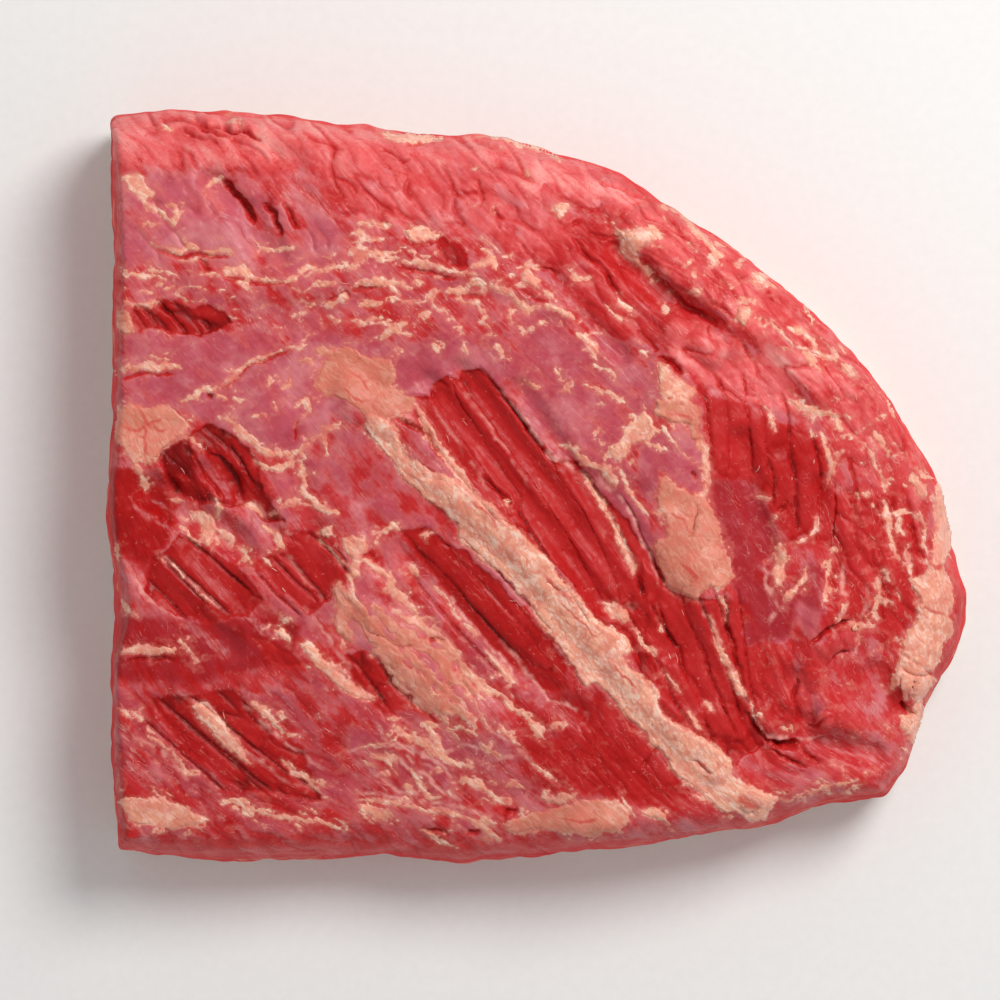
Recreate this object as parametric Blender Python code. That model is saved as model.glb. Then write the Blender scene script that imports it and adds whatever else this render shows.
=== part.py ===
"""Raw beef brisket: one slab of meat, cut straight across at one end and rounded at the other.

It lies on its flat fat side with the lean side up, the way it sits in a butcher's display.
Units are metres and +Z is up. +X runs from the straight cut to the rounded end, and +Y to the
edge that is longest. The origin is on the resting plane, under the middle of the bounding box.
"""
import bmesh
import bpy
import numpy as np
from mathutils import Vector, noise

MM = 0.001

# Driving dimensions. The outline below is drawn at LENGTH by WIDTH and is scaled to them.
LENGTH = 268 * MM
WIDTH = 234.5 * MM
THICKNESS = 50 * MM

# Outline of the slab seen from above, in millimetres, as four sides that meet at its corners.
CUT_END = [(-130, -114), (-131.5, -95), (-132.5, -73), (-132.5, -54), (-129.5, -40), (-134, -10),
           (-132, 21), (-131.5, 49), (-131.5, 80), (-133.5, 114.5)]
LONG_EDGE = [(-133.5, 114.5), (-109.5, 117), (-75, 115), (-41, 110.5), (-12.5, 108), (11, 102.5),
             (34.5, 90.5), (64, 71.5), (90, 49), (105, 32)]
ROUNDED_END = [(105, 32), (118, 12), (126, -4), (129.5, -22), (134, -37), (131, -51), (121.5, -70),
               (115.5, -88), (108.5, -97)]
SHORT_EDGE = [(108.5, -97), (88, -99.5), (61, -108), (34.5, -112.5), (3, -116), (-25, -117), (-50, -115),
              (-75, -117), (-106, -117), (-130, -114)]

# Section of the edges: how far the top and the underside pull in, and how high the widest line runs.
SHOULDER_RADIUS = 15 * MM
UNDERCUT_RADIUS = 7 * MM
CUT_EDGE_RADIUS = 2 * MM
CUT_LEAN = 2.0 * MM
CUT_LINE = -132.5 * MM
WAIST_SHARE = 0.38
CROWN_SHARE = 0.12
CROWN_POWER = 3

# The straight cut: how far its square section reaches in from that end, as a share of half the length,
# how sharply its edges turn, and the shares of rounding and of lumps that it keeps.
CUT_REACH = 0.16
CUT_SHARPNESS = 6
CUT_ROUNDING = 0.4
CUT_LUMPS = 0.3

# How unevenly the edges are rounded along the rim: size across in millimetres against share of change.
ROUNDING = [(70, 0.55), (26, 0.3)]

# Broad form of the lean side: (height, spread) in millimetres and centre (x, y) of each swelling.
SWELLINGS = [
    (4.0, 60, (30, 45)),
    (3.0, 45, (-85, 85)),
    (-5.0, 55, (-70, -90)),
    (-9.0, 50, (125, -85)),
    (-4.0, 40, (128, 10)),
    (-3.0, 26, (-62, 50)),
]

# Raised strips of fat and rolled meat: height, width, and the points that each runs through.
RIDGES = [
    (2.6, 13, [(-58, 28), (-42, 18), (-30, 2), (-8, -16), (8, -34), (22, -50), (36, -68), (54, -86), (66, -98)]),
    (2.2, 17, [(-60, -12), (-56, -30), (-48, -42), (-38, -54), (-26, -66), (-14, -76)]),
    (2.2, 18, [(42, 34), (43, 16), (40, 2), (46, -14), (52, -30)]),
    (1.6, 14, [(-130, 12), (-118, 6), (-104, 12)]),
    (1.8, 11, [(122, 4), (124, -18), (118, -44), (114, -62)]),
    (3.4, 14, [(30, 78), (42, 66), (58, 56), (74, 46), (86, 30)]),
    (2.6, 14, [(42, 50), (52, 44), (62, 46)]),
    (1.6, 12, [(-104, 62), (-84, 60), (-60, 62), (-40, 72), (-16, 66), (8, 56)]),
    (3.4, 13, [(90, -36), (84, -54), (82, -66), (96, -74)]),
    (2.0, 16, [(14, -108), (34, -106), (56, -102)]),
    (1.6, 14, [(-74, -52), (-62, -66), (-48, -78)]),
]

# Cracks between bundles of muscle: depth, width, and the points that each runs through.
CRACKS = [
    (2.4, 7, [(-34, 32), (-20, 16), (-4, -4), (10, -22), (22, -38)]),
    (2.4, 7, [(-24, 36), (-8, 14), (8, -6), (26, -32), (40, -52)]),
    (2.2, 7, [(-6, 30), (12, 4), (24, -18), (40, -42), (52, -66)]),
    (2.0, 7, [(18, 2), (32, -18), (44, -40), (56, -62), (70, -84)]),
    (4.0, 9, [(-100, 94), (-90, 84), (-85, 73)]),
    (2.0, 6, [(-84, 86), (-79, 70)]),
    (4.5, 13, [(-118, -2), (-104, -10), (-92, -18)]),
    (3.5, 10, [(-100, 4), (-90, -4), (-82, -14)]),
    (2.2, 8, [(-122, -26), (-108, -38), (-94, -50)]),
    (1.8, 8, [(-106, -20), (-92, -34), (-78, -46)]),
    (2.2, 9, [(-40, -22), (-22, -42), (-4, -58), (14, -72)]),
    (3.4, 9, [(24, 72), (38, 58), (52, 50)]),
    (2.4, 7, [(4, 64), (16, 50), (26, 40)]),
    (3.6, 9, [(80, -60), (86, -78), (104, -84)]),
    (2.8, 9, [(62, 14), (66, -6), (72, -22)]),
    (2.2, 8, [(86, 0), (90, -18), (90, -34)]),
    (2.6, 9, [(104, -58), (112, -70)]),
    (2.0, 8, [(-112, 108), (-92, 106), (-74, 100)]),
    (2.0, 8, [(-50, 100), (-30, 96), (-10, 100)]),
]

# The relief of a ridge or crack fades out this many half widths from its line.
RELIEF_REACH = 1.25

# Lumps of the hand-cut surface: size across in millimetres against height in millimetres.
LUMPS = [(34, 1.6), (15, 0.8), (8, 0.35)]
EDGE_LUMPS = [(22, 1.1), (9, 0.5)]
EDGE_LUMPS_FADE = 4

# Cells of the shaped block before it is thinned to the triangles that its form needs.
CELLS_LONG, CELLS_WIDE, CELLS_HIGH = 136, 120, 14
TRIANGLES = 8800
FLAT_WITHIN = 0.12 * MM


def smooth_step(x):
    """0 below 0, 1 above 1 and a soft turn between them."""
    x = np.clip(x, 0, 1)
    return x * x * (3 - 2 * x)


def curve_through(points, share):
    """Places on a smooth curve through these points, at shares 0 to 1 of its length."""
    p = np.array(points, float) * MM
    knots = np.concatenate([[0], np.cumsum(np.hypot(*np.diff(p, axis=0).T))])
    knots /= knots[-1]
    slope = np.gradient(p, knots, axis=0)
    i = np.clip(np.searchsorted(knots, share, "right") - 1, 0, len(p) - 2)
    gap = (knots[i + 1] - knots[i])[:, None]
    s = (share - knots[i])[:, None] / gap
    start = (1 + 2 * s) * (1 - s) ** 2 * p[i] + s * (1 - s) ** 2 * gap * slope[i]
    end = s * s * (3 - 2 * s) * p[i + 1] + s * s * (s - 1) * gap * slope[i + 1]
    return start + end


def inside_outline(u, v):
    """Blends the four sides of the outline over the square -1 to 1, so that its rim is the outline."""
    s, t = (u + 1) / 2, (v + 1) / 2
    near, far = curve_through(SHORT_EDGE[::-1], s), curve_through(LONG_EDGE, s)
    cut, tip = curve_through(CUT_END, t), curve_through(ROUNDED_END[::-1], t)
    s, t = s[:, None], t[:, None]
    corners = [np.array(side[end], float) * MM
               for side, end in ((CUT_END, 0), (SHORT_EDGE, 0), (CUT_END, -1), (LONG_EDGE, -1))]
    ruled = (1 - t) * near + t * far + (1 - s) * cut + s * tip
    return ruled - ((1 - s) * (1 - t) * corners[0] + s * (1 - t) * corners[1]
                    + (1 - s) * t * corners[2] + s * t * corners[3])


def distance_to(x, y, points):
    """Distance in plan from each place to a line of straight runs through these points."""
    best = np.full(len(x), np.inf)
    line = np.array(points, float) * MM
    for a, b in zip(line[:-1], line[1:]):
        run = b - a
        along = np.clip(((x - a[0]) * run[0] + (y - a[1]) * run[1]) / (run @ run), 0, 1)
        best = np.minimum(best, np.hypot(x - a[0] - along * run[0], y - a[1] - along * run[1]))
    return best


def lumps(points, sizes):
    """Uneven amounts from soft noise of a few sizes, each across in millimetres and its amount."""
    total = np.zeros(len(points))
    for across, amount in sizes:
        scale = 1 / (across * MM)
        total += [amount * noise.noise(Vector(p) * scale) for p in points]
    return total


def surface_relief(x, y):
    """Height of the ridges, less the depth of the cracks, at each place of the lean side."""
    relief = np.zeros(len(x))
    for sign, strips in ((1, RIDGES), (-1, CRACKS)):
        for amount, width, points in strips:
            near = RELIEF_REACH - distance_to(x, y, points) / (width * MM / 2)
            relief += sign * amount * MM * smooth_step(near)
    return relief


def shape_block(block):
    """Turns a block that fills -1 to 1 each way, given as its corners' places, into the slab."""
    u, v, w = block.T
    turn = np.abs(w) * np.pi / 2
    cut = smooth_step((-u - 1 + CUT_REACH) / CUT_REACH)
    upper = w > 0
    uneven = 1 + lumps(np.column_stack([inside_outline(u, v), 0 * u]), ROUNDING)

    # How far each layer of the sides pulls in from the outline: a rounded edge, and a nearly square cut.
    rounded_inset = np.where(upper, SHOULDER_RADIUS, UNDERCUT_RADIUS) * uneven * (1 - np.cos(turn))
    cut_inset = CUT_EDGE_RADIUS * np.abs(w) ** CUT_SHARPNESS + CUT_LEAN * (w + 1) / 2
    inset = rounded_inset * (1 - cut) + cut_inset * cut
    u_in = u * (1 - inset / (LENGTH / 2))
    v_in = v * (1 - rounded_inset * (1 - (1 - CUT_ROUNDING) * cut) / (WIDTH / 2))
    plan = inside_outline(u_in, v_in)
    plan[:, 0] += cut * (1 - w) / 2 * (CUT_LINE - plan[:, 0])

    # How high each layer stands, as a share of the thickness there.
    waist = WAIST_SHARE * uneven
    rounded_rise = np.where(upper, waist + (1 - waist) * np.sin(turn), waist * (1 - np.sin(turn)))
    rise = rounded_rise * (1 - cut) + (w + 1) / 2 * cut
    crown = (1 - np.clip(u, 0, 1) ** CROWN_POWER) * (1 - np.abs(v) ** CROWN_POWER)
    top = THICKNESS * (1 - CROWN_SHARE * (1 - crown))
    x, y = plan.T
    for height, spread, (cx, cy) in SWELLINGS:
        top += height * MM * np.exp(-((x - cx * MM) ** 2 + (y - cy * MM) ** 2) / (2 * (spread * MM) ** 2))
    z = rise * top

    # The hand-cut surface: relief on the lean side, lumps on the sides, and a flat underside.
    points = np.column_stack([x, y, z])
    z += smooth_step(w) * (surface_relief(x, y) + MM * lumps(points, LUMPS))
    sideways = (1 - np.abs(w) ** EDGE_LUMPS_FADE) * MM * lumps(points, EDGE_LUMPS)
    sideways *= 1 - (1 - CUT_LUMPS) * cut
    outward = plan / np.maximum(np.hypot(x, y), MM)[:, None]
    plan += outward * sideways[:, None]
    return np.column_stack([plan, z])


def block_mesh():
    """A closed block from -1 to 1 each way, divided into cells."""
    form = bmesh.new()
    bmesh.ops.create_cube(form, size=2)
    for axis, cells in enumerate((CELLS_LONG, CELLS_WIDE, CELLS_HIGH)):
        across = [edge for edge in form.edges
                  if abs(edge.verts[0].co[axis] - edge.verts[1].co[axis]) > 1]
        bmesh.ops.subdivide_edges(form, edges=across, cuts=cells - 1, use_grid_fill=True)
    mesh = bpy.data.meshes.new("brisket")
    form.to_mesh(mesh)
    form.free()
    return mesh


def corners_of(mesh):
    """The mesh's vertices as rows of x, y and z."""
    flat = np.empty(len(mesh.vertices) * 3)
    mesh.vertices.foreach_get("co", flat)
    return flat.reshape(-1, 3)


def thinned(obj, triangles):
    """The object's mesh with only as many triangles as its form needs, small ones where it is uneven."""
    thin = obj.modifiers.new("thin", "DECIMATE")
    thin.ratio = triangles / (2 * len(obj.data.polygons))
    thin.use_collapse_triangulate = True
    graph = bpy.context.evaluated_depsgraph_get()
    mesh = bpy.data.meshes.new_from_object(obj.evaluated_get(graph), depsgraph=graph)
    obj.modifiers.remove(thin)
    return mesh


def settle(mesh):
    """Flattens the underside onto the resting plane and sets the origin under the middle of the box."""
    points = corners_of(mesh)
    points[:, 2] -= points[:, 2].min()
    points[points[:, 2] < FLAT_WITHIN, 2] = 0
    points[:, :2] -= (points[:, :2].min(axis=0) + points[:, :2].max(axis=0)) / 2
    points[:, 0] *= LENGTH / np.ptp(points[:, 0])
    points[:, 1] *= WIDTH / np.ptp(points[:, 1])
    mesh.vertices.foreach_set("co", points.ravel())
    mesh.update()


def raw_beef():
    """Bright red lean meat, wet enough to shine."""
    material = bpy.data.materials.new("raw_beef")
    material.use_nodes = True
    shader = material.node_tree.nodes["Principled BSDF"]
    shader.inputs["Base Color"].default_value = (0.50, 0.055, 0.06, 1)
    shader.inputs["Roughness"].default_value = 0.35
    shader.inputs["Metallic"].default_value = 0
    return material


def brisket(collection):
    """The slab: a block shaped by its outline, section and relief, then thinned and set down."""
    mesh = block_mesh()
    mesh.vertices.foreach_set("co", shape_block(corners_of(mesh)).ravel())
    slab = bpy.data.objects.new("brisket", mesh)
    collection.objects.link(slab)
    slab.data = thinned(slab, TRIANGLES)
    bpy.data.meshes.remove(mesh)
    slab.data.name = "brisket"
    settle(slab.data)
    slab.data.materials.clear()
    slab.data.materials.append(raw_beef())
    slab.data.shade_smooth()
    return slab


def main():
    for obj in list(bpy.data.objects):
        bpy.data.objects.remove(obj)
    collection = bpy.data.collections.new("Raw beef brisket")
    bpy.context.scene.collection.children.link(collection)
    brisket(collection)


main()
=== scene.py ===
"""Raw beef brisket, lean side up, dressed for a studio picture.

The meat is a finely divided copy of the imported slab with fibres, film and bare bundles of muscle on it.
Seams, patches and strands of fat lie on it as their own sheet. Units are metres and +Z is up. What is drawn
on the lean side is drawn in pixels of the 1000 by 1000 photograph, taken from straight above.
"""

import math
from functools import cache

import bmesh
import bpy
import numpy as np
from bpy.props import FloatProperty, FloatVectorProperty, IntProperty, PointerProperty
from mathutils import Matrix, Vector, noise
from mathutils.bvhtree import BVHTree


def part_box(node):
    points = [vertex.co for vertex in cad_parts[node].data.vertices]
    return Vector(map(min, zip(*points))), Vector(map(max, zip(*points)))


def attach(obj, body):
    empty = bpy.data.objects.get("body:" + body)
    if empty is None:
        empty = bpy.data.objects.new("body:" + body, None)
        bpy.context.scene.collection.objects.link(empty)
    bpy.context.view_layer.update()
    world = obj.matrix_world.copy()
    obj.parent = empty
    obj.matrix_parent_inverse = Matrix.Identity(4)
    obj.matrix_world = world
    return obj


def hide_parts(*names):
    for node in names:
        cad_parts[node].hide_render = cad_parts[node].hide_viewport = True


bl_info = {
    "name": "Raw Beef Brisket",
    "version": (1, 0, 0),
    "blender": (4, 5, 0),
    "location": "3D View > Sidebar > Brisket",
    "description": "Dresses a packed slab of brisket with muscle, film and fat, on a studio floor",
    "category": "Object",
}

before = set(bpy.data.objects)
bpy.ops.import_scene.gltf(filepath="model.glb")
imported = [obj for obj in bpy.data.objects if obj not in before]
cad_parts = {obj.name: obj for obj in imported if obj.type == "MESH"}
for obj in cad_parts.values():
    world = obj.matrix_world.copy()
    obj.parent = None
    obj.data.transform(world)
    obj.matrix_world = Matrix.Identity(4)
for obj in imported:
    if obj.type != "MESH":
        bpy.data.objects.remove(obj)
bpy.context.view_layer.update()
LOW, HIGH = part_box("brisket")

MM = 0.001
MM_PER_PIXEL = 0.3125
PIXEL_OVER_ORIGIN = (540, 486.5)
PHOTO_MIDDLE = (500, 500)

# The place of the frame under the middle of the photo, in metres.
MIDDLE_X = (PHOTO_MIDDLE[0] - PIXEL_OVER_ORIGIN[0]) * MM_PER_PIXEL * MM
MIDDLE_Y = (PIXEL_OVER_ORIGIN[1] - PHOTO_MIDDLE[1]) * MM_PER_PIXEL * MM

# Which way the fibres run: a place in the photo and the slope there, in degrees down to the right.
GRAIN = [
    ((150, 150), 42), ((250, 200), 52), ((360, 200), 50), ((452, 185), 58), ((520, 210), 55),
    ((595, 265), 51), ((560, 160), 32), ((650, 225), 38), ((720, 280), 40), ((800, 345), 42),
    ((860, 380), 46), ((890, 430), 60), ((915, 480), 74), ((935, 560), 84), ((880, 540), 82),
    ((735, 430), 78), ((800, 480), 86), ((780, 360), 50), ((700, 650), 68), ((660, 560), 64),
    ((640, 490), 62), ((560, 480), 54), ((470, 430), 52), ((540, 600), 50), ((480, 620), 47),
    ((300, 560), 46), ((200, 590), 42), ((220, 465), 50), ((165, 320), 48), ((370, 680), 46),
    ((600, 740), 46), ((450, 760), 34), ((470, 812), 14), ((300, 820), 8), ((560, 845), 2),
    ((700, 830), -10), ((800, 800), -16), ((870, 740), 60), ((810, 690), 86), ((400, 480), 50),
    ((200, 780), 30), ((130, 520), 70), ((200, 380), 35), ((330, 340), 40), ((120, 650), 60),
    ((740, 740), 58), ((880, 640), 76), ((940, 640), 100),
]


def area(outline, tone, film=0.0, bundles=0.5, marbling=0.2, sink=0.0, soft=5):
    """A part of the lean side: how light and veiled it is, how its muscle shows, and its outline in pixels.

    tone runs from -1 for dark red to 1 for coral, and film, bundles and marbling from 0 to 1. sink is its
    depth in millimetres below what lies around it, and soft the pixels over which its edge fades.
    """
    return {"outline": outline, "tone": tone, "film": film, "bundles": bundles, "marbling": marbling,
            "sink": sink, "soft": soft}


PLAIN_LEAN = area([], 0.15, film=0.45, bundles=0.35, marbling=0.3)

# The parts of the lean side, each laid over those before it.
AREAS = [
    area([(100, 95), (340, 100), (480, 115), (560, 135), (610, 160), (590, 200), (520, 196), (440, 185),
          (340, 182), (250, 168), (180, 165), (100, 175)], 0.85, film=0.1, bundles=0.35, marbling=0.15,
          soft=20),
    area([(118, 180), (200, 175), (240, 185), (262, 225), (340, 215), (345, 262), (250, 272), (160, 270),
          (118, 275)], 0.4, film=0.75, bundles=0.12, marbling=0.25, soft=22),
    area([(345, 165), (440, 165), (540, 195), (585, 235), (560, 262), (480, 240), (350, 222)], 0.6,
          film=0.3, bundles=0.45, marbling=0.1, soft=18),
    area([(120, 270), (240, 275), (330, 262), (440, 224), (480, 240), (560, 285), (645, 300), (655, 340),
          (560, 345), (430, 338), (340, 332), (240, 335), (120, 335)], 0.15, film=0.5, bundles=0.2,
          marbling=0.9, soft=18),
    area([(580, 215), (640, 262), (700, 320), (655, 345), (600, 330), (545, 262)], 0.1, film=0.15,
          bundles=0.6, marbling=0.12, soft=10),
    area([(590, 165), (700, 230), (860, 340), (940, 450), (900, 470), (840, 400), (740, 325), (650, 262),
          (610, 225)], 0.6, film=0.12, bundles=0.45, marbling=0.6, soft=12),
    area([(780, 350), (860, 380), (915, 450), (930, 500), (900, 560), (862, 480), (830, 425)], 0.5,
          film=0.1, bundles=0.5, marbling=0.65, soft=12),
    area([(662, 335), (680, 320), (700, 322), (740, 345), (790, 380), (800, 415), (745, 402), (705, 385),
          (675, 362)], 0.75, film=0.1, bundles=0.3, marbling=0.35, soft=6),
    area([(122, 338), (300, 335), (400, 340), (400, 400), (300, 425), (290, 452), (250, 447), (225, 422),
          (190, 414), (122, 405)], 0.2, film=0.85, bundles=0.08, marbling=0.25, soft=14),
    area([(395, 348), (440, 335), (560, 330), (655, 345), (660, 395), (650, 422), (622, 455), (602, 490),
          (575, 465), (548, 455), (515, 408), (490, 378), (460, 372), (432, 390), (412, 398), (398, 380)],
          0.12, film=0.72, bundles=0.15, marbling=0.3, soft=4),
    area([(396, 362), (440, 356), (470, 364), (440, 378), (430, 394), (408, 396), (396, 380)], 0.1,
          film=1.0, bundles=0.0, marbling=0.0, soft=4),
    area([(600, 470), (625, 470), (655, 540), (667, 582), (655, 592), (640, 560), (620, 520), (600, 492)],
          0.15, film=0.9, bundles=0.1, marbling=0.1, soft=2),
    area([(640, 448), (665, 430), (690, 440), (705, 470), (700, 492), (680, 485), (660, 470), (650, 500),
          (638, 480)], 0.2, film=0.95, bundles=0.1, marbling=0.2, soft=4),
    area([(133, 306), (150, 308), (165, 300), (175, 302), (195, 308), (210, 305), (222, 312), (231, 322),
          (215, 333), (200, 338), (180, 334), (160, 328), (140, 330), (132, 320)], -0.85, bundles=1,
          marbling=0.05, sink=0.9, soft=1.5),
    area([(440, 236), (455, 240), (466, 256), (470, 268), (455, 266), (444, 258), (436, 246)], -0.8,
          bundles=0.3, marbling=0, sink=0.5, soft=2),
    area([(702, 400), (740, 405), (790, 428), (830, 478), (850, 560), (820, 545), (790, 545), (772, 505),
          (748, 482), (712, 478), (706, 440)], -0.3, bundles=0.6, marbling=0.1, soft=5),
    area([(775, 425), (800, 430), (828, 445), (828, 500), (800, 525), (775, 510), (770, 450)], -0.6,
          bundles=0.6, marbling=0.0, sink=0.0, soft=8),
    area([(708, 480), (748, 482), (768, 500), (775, 540), (785, 585), (810, 560), (830, 575), (825, 610),
          (800, 600), (790, 635), (765, 645), (748, 645), (740, 610), (732, 580), (722, 540)], -0.6,
          film=0.75, bundles=0.15, marbling=0.15, soft=6),
    area([(830, 490), (900, 490), (925, 560), (915, 600), (900, 650), (860, 640), (830, 632), (826, 560)],
          -0.1, film=0.05, bundles=0.8, marbling=0.45, soft=8),
    area([(820, 640), (890, 650), (900, 700), (915, 745), (890, 800), (830, 795), (800, 760), (835, 735),
          (835, 700), (818, 690)], 0.25, film=0.35, bundles=0.25, marbling=0.55, soft=10),
    area([(745, 650), (790, 640), (800, 700), (795, 735), (765, 733), (748, 710)], -0.05, film=0.1,
          bundles=0.6, marbling=0.25, soft=4),
    area([(415, 398), (424, 395), (432, 398), (433, 385), (445, 377), (458, 380), (462, 372), (478, 370),
          (492, 380), (515, 408), (545, 452), (560, 462), (575, 462), (600, 490), (625, 520), (650, 550),
          (668, 582), (690, 598), (720, 602), (738, 640), (752, 690), (762, 745), (735, 765), (700, 740),
          (665, 715), (650, 690), (640, 670), (630, 640), (610, 625), (590, 610), (570, 580), (540, 548),
          (510, 520), (485, 500), (460, 465), (440, 440), (425, 418)], -0.45, bundles=0.9, marbling=0.06,
          sink=1.1, soft=1.5),
    area([(398, 426), (412, 424), (428, 434), (442, 450), (450, 470), (440, 478), (425, 470), (408, 450)],
          0.0, film=0.6, bundles=0.3, marbling=0.2, soft=3),
    area([(398, 440), (412, 458), (436, 472), (446, 482), (430, 480), (415, 472), (402, 455)], -0.6,
          bundles=0.6, marbling=0, sink=0.6, soft=1.5),
    area([(318, 450), (340, 430), (365, 432), (385, 455), (410, 480), (440, 500), (455, 520), (450, 535),
          (430, 525), (400, 525), (350, 530), (330, 500), (310, 490)], 0.1, film=0.55, bundles=0.12,
          marbling=0.1, soft=10),
    area([(155, 455), (165, 445), (182, 437), (196, 430), (210, 425), (228, 432), (245, 447), (258, 465),
          (262, 490), (285, 522), (262, 520), (245, 505), (225, 505), (200, 505), (180, 495), (165, 480)],
          -0.75, bundles=0.7, marbling=0.05, sink=1.1, soft=1.5),
    area([(160, 450), (185, 438), (196, 450), (188, 475), (170, 475)], -1.4, bundles=0.7, marbling=0,
          sink=0.4, soft=5),
    area([(190, 455), (206, 452), (228, 480), (236, 500), (214, 500), (196, 478)], -0.3, film=0.45,
          bundles=0.3, marbling=0, soft=4),
    area([(104, 470), (140, 470), (160, 488), (178, 502), (172, 530), (162, 548), (148, 562), (125, 556),
          (104, 540)], -0.8, bundles=0.15, marbling=0, soft=4),
    area([(150, 560), (165, 552), (180, 532), (200, 545), (225, 560), (245, 575), (262, 600), (250, 615),
          (205, 622), (165, 612), (145, 590)], -0.6, bundles=0.5, marbling=0.05, sink=0.6, soft=1.5),
    area([(258, 560), (285, 545), (290, 532), (310, 532), (330, 540), (345, 560), (345, 580), (330, 600),
          (310, 615), (290, 600), (270, 580)], -0.45, bundles=0.9, marbling=0.08, sink=0.6, soft=2),
    area([(115, 615), (200, 622), (260, 615), (300, 625), (290, 660), (250, 670), (200, 685), (115, 680)],
          -0.7, film=0.55, bundles=0.15, marbling=0.15, soft=6),
    area([(115, 690), (180, 690), (300, 690), (350, 740), (350, 820), (250, 838), (115, 830)], -0.15,
          film=0.5, bundles=0.5, marbling=0.5, soft=12),
    area([(150, 700), (230, 690), (300, 745), (320, 800), (240, 790), (180, 750)], -0.7, bundles=0.9,
          marbling=0.08, sink=0.6, soft=2),
    area([(252, 636), (275, 643), (292, 655), (300, 668), (285, 670), (268, 660)], -0.45, bundles=0.3,
          marbling=0, sink=0.5, soft=1.5),
    area([(400, 530), (425, 528), (445, 540), (475, 558), (500, 582), (515, 600), (540, 625), (562, 662),
          (568, 690), (545, 690), (510, 665), (480, 635), (450, 600), (430, 570), (415, 552)], -0.6,
          bundles=0.4, marbling=0.12, sink=0.6, soft=2),
    area([(466, 548), (480, 556), (505, 575), (530, 602), (520, 606), (500, 586), (475, 562)], 0.0,
          film=0.8, bundles=0.1, marbling=0.1, soft=2),
    area([(440, 620), (470, 632), (500, 655), (520, 690), (560, 700), (600, 690), (600, 720), (540, 720),
          (500, 700), (470, 670)], -0.25, film=0.5, bundles=0.3, marbling=0.3, soft=5),
    area([(345, 655), (375, 648), (390, 670), (410, 695), (430, 712), (445, 730), (420, 730), (390, 715),
          (360, 700)], -0.6, bundles=0.9, marbling=0.05, sink=0.5, soft=2),
    area([(355, 700), (450, 722), (540, 740), (560, 795), (480, 800), (355, 800)], -0.05, film=0.6,
          bundles=0.35, marbling=0.55, soft=14),
    area([(520, 740), (560, 690), (590, 690), (640, 735), (670, 775), (710, 810), (660, 815), (640, 800),
          (600, 790), (560, 795), (525, 770)], -0.4, film=0.2, bundles=0.35, marbling=0.15, soft=12),
    area([(590, 750), (650, 765), (690, 790), (670, 805), (620, 798), (590, 785)], -0.6, bundles=0.4,
          marbling=0.1, sink=0.2, soft=12),
    area([(100, 842), (340, 842), (600, 840), (680, 836), (800, 802), (900, 782), (905, 800), (800, 835),
          (640, 870), (400, 880), (100, 880)], 0.35, film=0.15, bundles=0.2, marbling=0.1, soft=4),
    area([(943, 562), (965, 590), (980, 620), (955, 670), (930, 715), (938, 662), (952, 620), (952, 590)],
          0.0, bundles=0.3, marbling=0.1, soft=3),
    # A pale streak on the rim with a painted shine on it.
    area([(583, 178), (612, 184), (642, 200), (630, 207), (600, 198), (585, 190)], 1.3, marbling=0, soft=6),
    area([(760, 343), (800, 352), (832, 380), (822, 396), (790, 378), (762, 362)], 1.0, marbling=0.3,
          soft=6),
    area([(640, 560), (665, 585), (690, 602), (735, 600), (760, 700), (745, 740), (700, 735), (655, 700)],
          -0.3, bundles=0.6, marbling=0.05, soft=4),
    area([(330, 584), (350, 584), (400, 612), (440, 630), (470, 664), (492, 700), (478, 724), (430, 712),
          (390, 676), (360, 644), (334, 640)], 0.45, film=0.6, bundles=0.2, marbling=1.0, soft=6),
    area([(884, 696), (896, 690), (908, 696), (910, 708), (902, 716), (890, 714)], -0.1, bundles=0.2,
          marbling=0, sink=0.4, soft=4),
    area([(813, 650), (832, 638), (856, 622), (868, 628), (856, 642), (836, 652), (822, 668), (812, 664)],
          0.3, bundles=0.3, marbling=0.05, soft=2),
    area([(797, 672), (810, 668), (814, 700), (813, 718), (799, 724), (794, 700)], 0.3, bundles=0.3,
          marbling=0.05, soft=2),
    area([(806, 736), (812, 722), (826, 710), (836, 716), (834, 728), (818, 738)], 0.35, bundles=0.2,
          marbling=0.05, soft=2),
    area([(100, 170), (119, 170), (122, 300), (114, 330), (112, 470), (100, 470)], 0.4, bundles=0.2,
          marbling=0, soft=2),
]

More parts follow.
